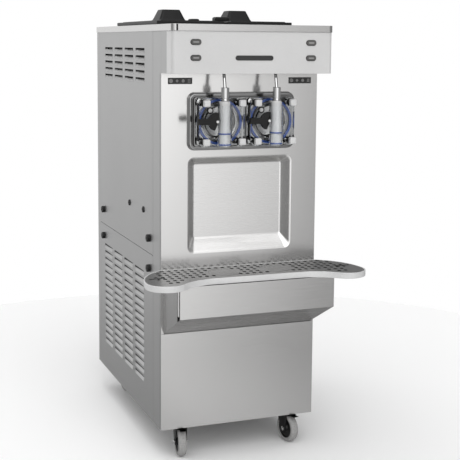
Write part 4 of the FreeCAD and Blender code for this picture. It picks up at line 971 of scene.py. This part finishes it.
punches = []
for y in ROWS:
    for column in range(-13, 14):
        x = column * HOLE_PITCH_X
        if abs(x) < PLAIN_END and not on_plain_disc(x, y) and not near_edge(x, y):
            punches.append(punch(x, y))
for side in SIDES.values():
    x = side * SLOT_X
    arms = [slab((x - half_x, SLOT_Y - half_y, grid_high.z - 6 * MM),
                 (x + half_x, SLOT_Y + half_y, grid_high.z + 6 * MM), 0.5 * MM, 1)
            for half_x, half_y in SLOT_ARMS]
    punches.append(carved(*arms, "UNION"))
print(len(punches), "punches")
grid = carved(softened("drip_grid", 0.5 * MM, 1, 50), joined(*punches))
for vert in grid.verts:
    vert.co.y = min(vert.co.y, GRID_BACK)
piece("punched_drip_grid", grid, "grid_steel", "drip_grid", "drip_grid", angle=30)
RING = [(-2 * MM, 0), (-0.6 * MM, 0.7 * MM), (0.6 * MM, 0.7 * MM), (2 * MM, 0), (-2 * MM, 0)]
rings = [lathed([(DISC_RADIUS + out, up) for out, up in RING],
                (side * DISC_X, DISC_Y, grid_high.z - 0.1 * MM), "Z", 64) for side in SIDES.values()]
piece("cup_disc_rings", joined(*rings), "grid_steel", "drip_grid")

# %% [markdown]
# ## The hopper lids
# Each lid is a thin hollow moulding with a raised field, a grip and a low boss behind its front edge. The
# grip rises from a wide foot that curves into the field, tapers to a flat top, and has a shallow panel in
# each of its faces. It grows from one square face by extrusions, each scaled a little.

# %% Mould the lids
GRIP_X, GRIP_Y, GRIP_HALF = 128 * MM, FRONT + 400 * MM, 64 * MM
GRIP_PROFILE = [(1.0, 0.0), (0.92, 0.02), (0.85, 0.06), (0.79, 0.12), (0.75, 0.20), (0.71, 0.32),
                (0.53, 0.93), (0.51, 0.98), (0.48, 1.0)]
PANEL_AREA = 600 * MM * MM
BOSSES = {"left": (-66 * MM, 16 * MM, 11 * MM), "right": (37 * MM, 27 * MM, 19 * MM)}
BOSS_FRONT, BOSS_BACK = GRIP_Y - 118 * MM, GRIP_Y - 78 * MM


def grip(x, y, z, top):
    """A tapered grip from its foot at z to its top."""
    bm = bmesh.new()
    corners = [bm.verts.new((x + a * GRIP_HALF, y + b * GRIP_HALF, z))
               for a, b in ((-1, -1), (1, -1), (1, 1), (-1, 1))]
    bm.faces.new(corners)
    bmesh.ops.bevel(bm, geom=corners, offset=14 * MM, offset_type="OFFSET", segments=4, profile=0.5,
                    affect="VERTICES", material=-1)
    bm.faces.ensure_lookup_table()
    face = bm.faces[0]
    for (wide, low), (next_wide, high) in zip(GRIP_PROFILE, GRIP_PROFILE[1:]):
        grown = bmesh.ops.extrude_discrete_faces(bm, faces=[face])
        face = grown["faces"][0]
        bmesh.ops.translate(bm, vec=(0, 0, (high - low) * (top - z)), verts=face.verts)
        centre = Matrix.Translation((-x, -y, 0))
        bmesh.ops.scale(bm, vec=(next_wide / wide, next_wide / wide, 1), space=centre, verts=face.verts)
    sides = [side for side in bm.faces if abs(side.normal.z) < 0.4 and side.calc_area() > PANEL_AREA]
    bmesh.ops.inset_individual(bm, faces=sides, thickness=5 * MM, depth=-2.5 * MM, use_even_offset=True)
    return bm


for name, side in SIDES.items():
    node = f"hopper_lid_{name}"
    low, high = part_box(node)
    plate_top = low.z + 12 * MM
    field = slab((low.x, low.y, low.z), (high.x, high.y, plate_top), 3 * MM, 4)
    raised = slab((low.x + 18 * MM, low.y + 18 * MM, plate_top - 2 * MM),
                  (high.x - 18 * MM, high.y - 18 * MM, plate_top + 2.5 * MM), 2 * MM, 3)
    hollow = slab((low.x + 4 * MM, low.y + 4 * MM, low.z - 5 * MM),
                  (high.x - 4 * MM, high.y - 4 * MM, plate_top - 3.5 * MM), 1 * MM, 1)
    boss_x, boss_half, boss_tall = BOSSES[name]
    boss = slab((boss_x - boss_half, BOSS_FRONT, plate_top),
                (boss_x + boss_half, BOSS_BACK, plate_top + boss_tall), 6 * MM, 4)
    handle = grip(side * GRIP_X, GRIP_Y, plate_top + 2 * MM, high.z)
    lid = joined(carved(field, hollow), raised, handle, boss)
    piece(f"black_lid_{name}", lid, "lid_black", node, node, angle=32)

# %% [markdown]
# ## Bumpers
# Rubber bumpers keep the side sheets off a wall, and flat plugs close two spare holes on each side. Each
# row below is how far back and how high it stands, its radius and how far it stands out, in millimetres.

# %% Turn the bumpers
BUMPERS = [(133, 747, 13, 12), (133, 642, 13, 12), (765, 753, 13, 12), (765, 648, 13, 12),
           (388, 834, 11, 4), (207, 835, 11, 4)]
bumpers = []
for side in SIDES.values():
    for along, z, radius, tall in BUMPERS:
        edge = min(2.5, tall / 2)
        profile = [(0, tall - 1.5), (3, tall - 1.5), (4, tall), (radius - edge, tall),
                   (radius - 0.3 * edge, tall - 0.3 * edge), (radius, tall - edge), (radius, 0), (0, 0)]
        bm = lathed([(r * MM, h * MM) for r, h in profile], (0, 0, 0), "X", 32)
        bmesh.ops.scale(bm, vec=(side, 1, 1), verts=bm.verts)
        bmesh.ops.translate(bm, vec=(side * BODY_HALF, FRONT + along * MM, z * MM), verts=bm.verts)
        bmesh.ops.recalc_face_normals(bm, faces=bm.faces)
        bumpers.append(bm)
piece("rubber_bumpers", joined(*bumpers), "black_plastic", "cabinet", "panel_plugs")

# %% [markdown]
# ## The casters
# A caster wheel is a grey rubber tread on a black core, held by a black fork with a bright axle bolt.
# Tread, core and bolt are turned profiles in millimetres, as (radius, along the axle). Each wheel stands
# turned a little in plan, as casters do when a machine has just been rolled into place.

# %% Turn the wheels
YAW = {"front_left": -8, "front_right": 12, "back_left": 4, "back_right": -6}
PEDAL_TOP = 102 * MM
TREAD = [(36, -13), (39, -14), (44.5, -14), (48, -11), (49.6, -6), (50, 0), (49.6, 6), (48, 11), (44.5, 14),
         (39, 14), (36, 13), (36, -13)]
CORE = [(5.1, -15.5), (11, -15.5), (13, -13.5), (15, -9), (31, -9), (34, -12.5), (36.2, -12.5),
        (36.2, 12.5), (34, 12.5), (31, 9), (15, 9), (13, 13.5), (11, 15.5), (5.1, 15.5), (5.1, -15.5)]
BOLT = [(0, -25.5), (4, -25.5), (5.5, -24), (5.5, -22.6), (8.5, -22.6), (8.5, -21), (0, -21)]


def turned_in_place(profile, centre, yaw, steps=64):
    """A profile in millimetres spun about X, then turned in plan and put at its centre."""
    bm = lathed([(radius * MM, along * MM) for radius, along in profile], (0, 0, 0), "X", steps)
    bmesh.ops.rotate(bm, cent=(0, 0, 0), matrix=Matrix.Rotation(math.radians(yaw), 3, "Z"),
                     verts=bm.verts)
    bmesh.ops.translate(bm, vec=centre, verts=bm.verts)
    return bm


for name, yaw in YAW.items():
    hub = middle(f"caster_wheel_{name}")
    piece(f"tread_{name}", turned_in_place(TREAD, hub, yaw), "wheel_grey", f"wheel_{name}",
          f"caster_wheel_{name}")
    piece(f"wheel_core_{name}", turned_in_place(CORE, hub, yaw), "caster_black", f"wheel_{name}",
          f"caster_wheel_{name}")
    bolts = [turned_in_place([(radius, end * along) for radius, along in BOLT], hub, yaw, 6)
             for end in (-1, 1)]
    piece(f"axle_bolts_{name}", joined(*bolts), "chrome", f"caster_{name}")
    piece(f"fork_{name}", softened(f"caster_fork_{name}", 1.0 * MM, 2, 50), "caster_black",
          f"caster_{name}", f"caster_fork_{name}")
    if name.startswith("front"):
        pedal = softened(f"brake_pedal_{name}", 1.0 * MM, 2, 50)
        for vert in pedal.verts:
            vert.co.z = min(vert.co.z, PEDAL_TOP)
        piece(f"pedal_{name}", pedal, "caster_black", f"brake_pedal_{name}", f"brake_pedal_{name}")

# %% [markdown]
# ## The floor
# A plain pale disc. It is lit nearly as white as the room behind it, so its edge hardly shows, and it is
# small enough that the steel mirrors the room too. Seen in the steel its colour is greyer and darkens to the
# right: painted shade, as the floor of a large room is darker away from the lamps. It is not part of the
# machine.

# %% Lay the floor
FLOOR_RADIUS = 2.1
FLOOR_PAINTED_SHADE = [(0.0, 0.5), (0.3, 0.5), (0.5, 0.72), (0.6, 0.66), (0.87, 0.36)]
bm = bmesh.new()
bmesh.ops.create_circle(bm, cap_ends=True, segments=96, radius=FLOOR_RADIUS)
floor_mesh = bpy.data.meshes.new("floor")
bm.to_mesh(floor_mesh)
bm.free()
floor = bpy.data.objects.new("floor", floor_mesh)
bpy.context.scene.collection.objects.link(floor)
tree, shader = new_finish("floor", Specular_IOR_Level=0.2)
# Painted shade: seen in the steel, the floor's colour is grey and darker to the right.
mirrored = add_node(tree, "ShaderNodeMix", data_type="RGBA")
across = add_node(tree, "ShaderNodeSeparateXYZ")
tree.links.new(add_node(tree, "ShaderNodeTexCoord").outputs["Object"], across.inputs[0])
span = add_node(tree, "ShaderNodeMapRange")
span.inputs["From Min"].default_value = -1.0
tree.links.new(across.outputs["X"], span.inputs["Value"])
tree.links.new(ramp_of(tree, span.outputs["Result"], FLOOR_PAINTED_SHADE, "LINEAR"), mirrored.inputs["B"])
tree.links.new(add_node(tree, "ShaderNodeLightPath").outputs["Is Glossy Ray"], mirrored.inputs["Factor"])
tree.links.new(tinted(tree, pattern(tree, 0.8), shade(0.95), shade(0.97)), mirrored.inputs["A"])
tree.links.new(mirrored.outputs["Result"], shader.inputs["Base Color"])
shader.inputs["Roughness"].default_value = 0.7
floor_mesh.materials.append(FINISHES["floor"])
print("floor radius", FLOOR_RADIUS)
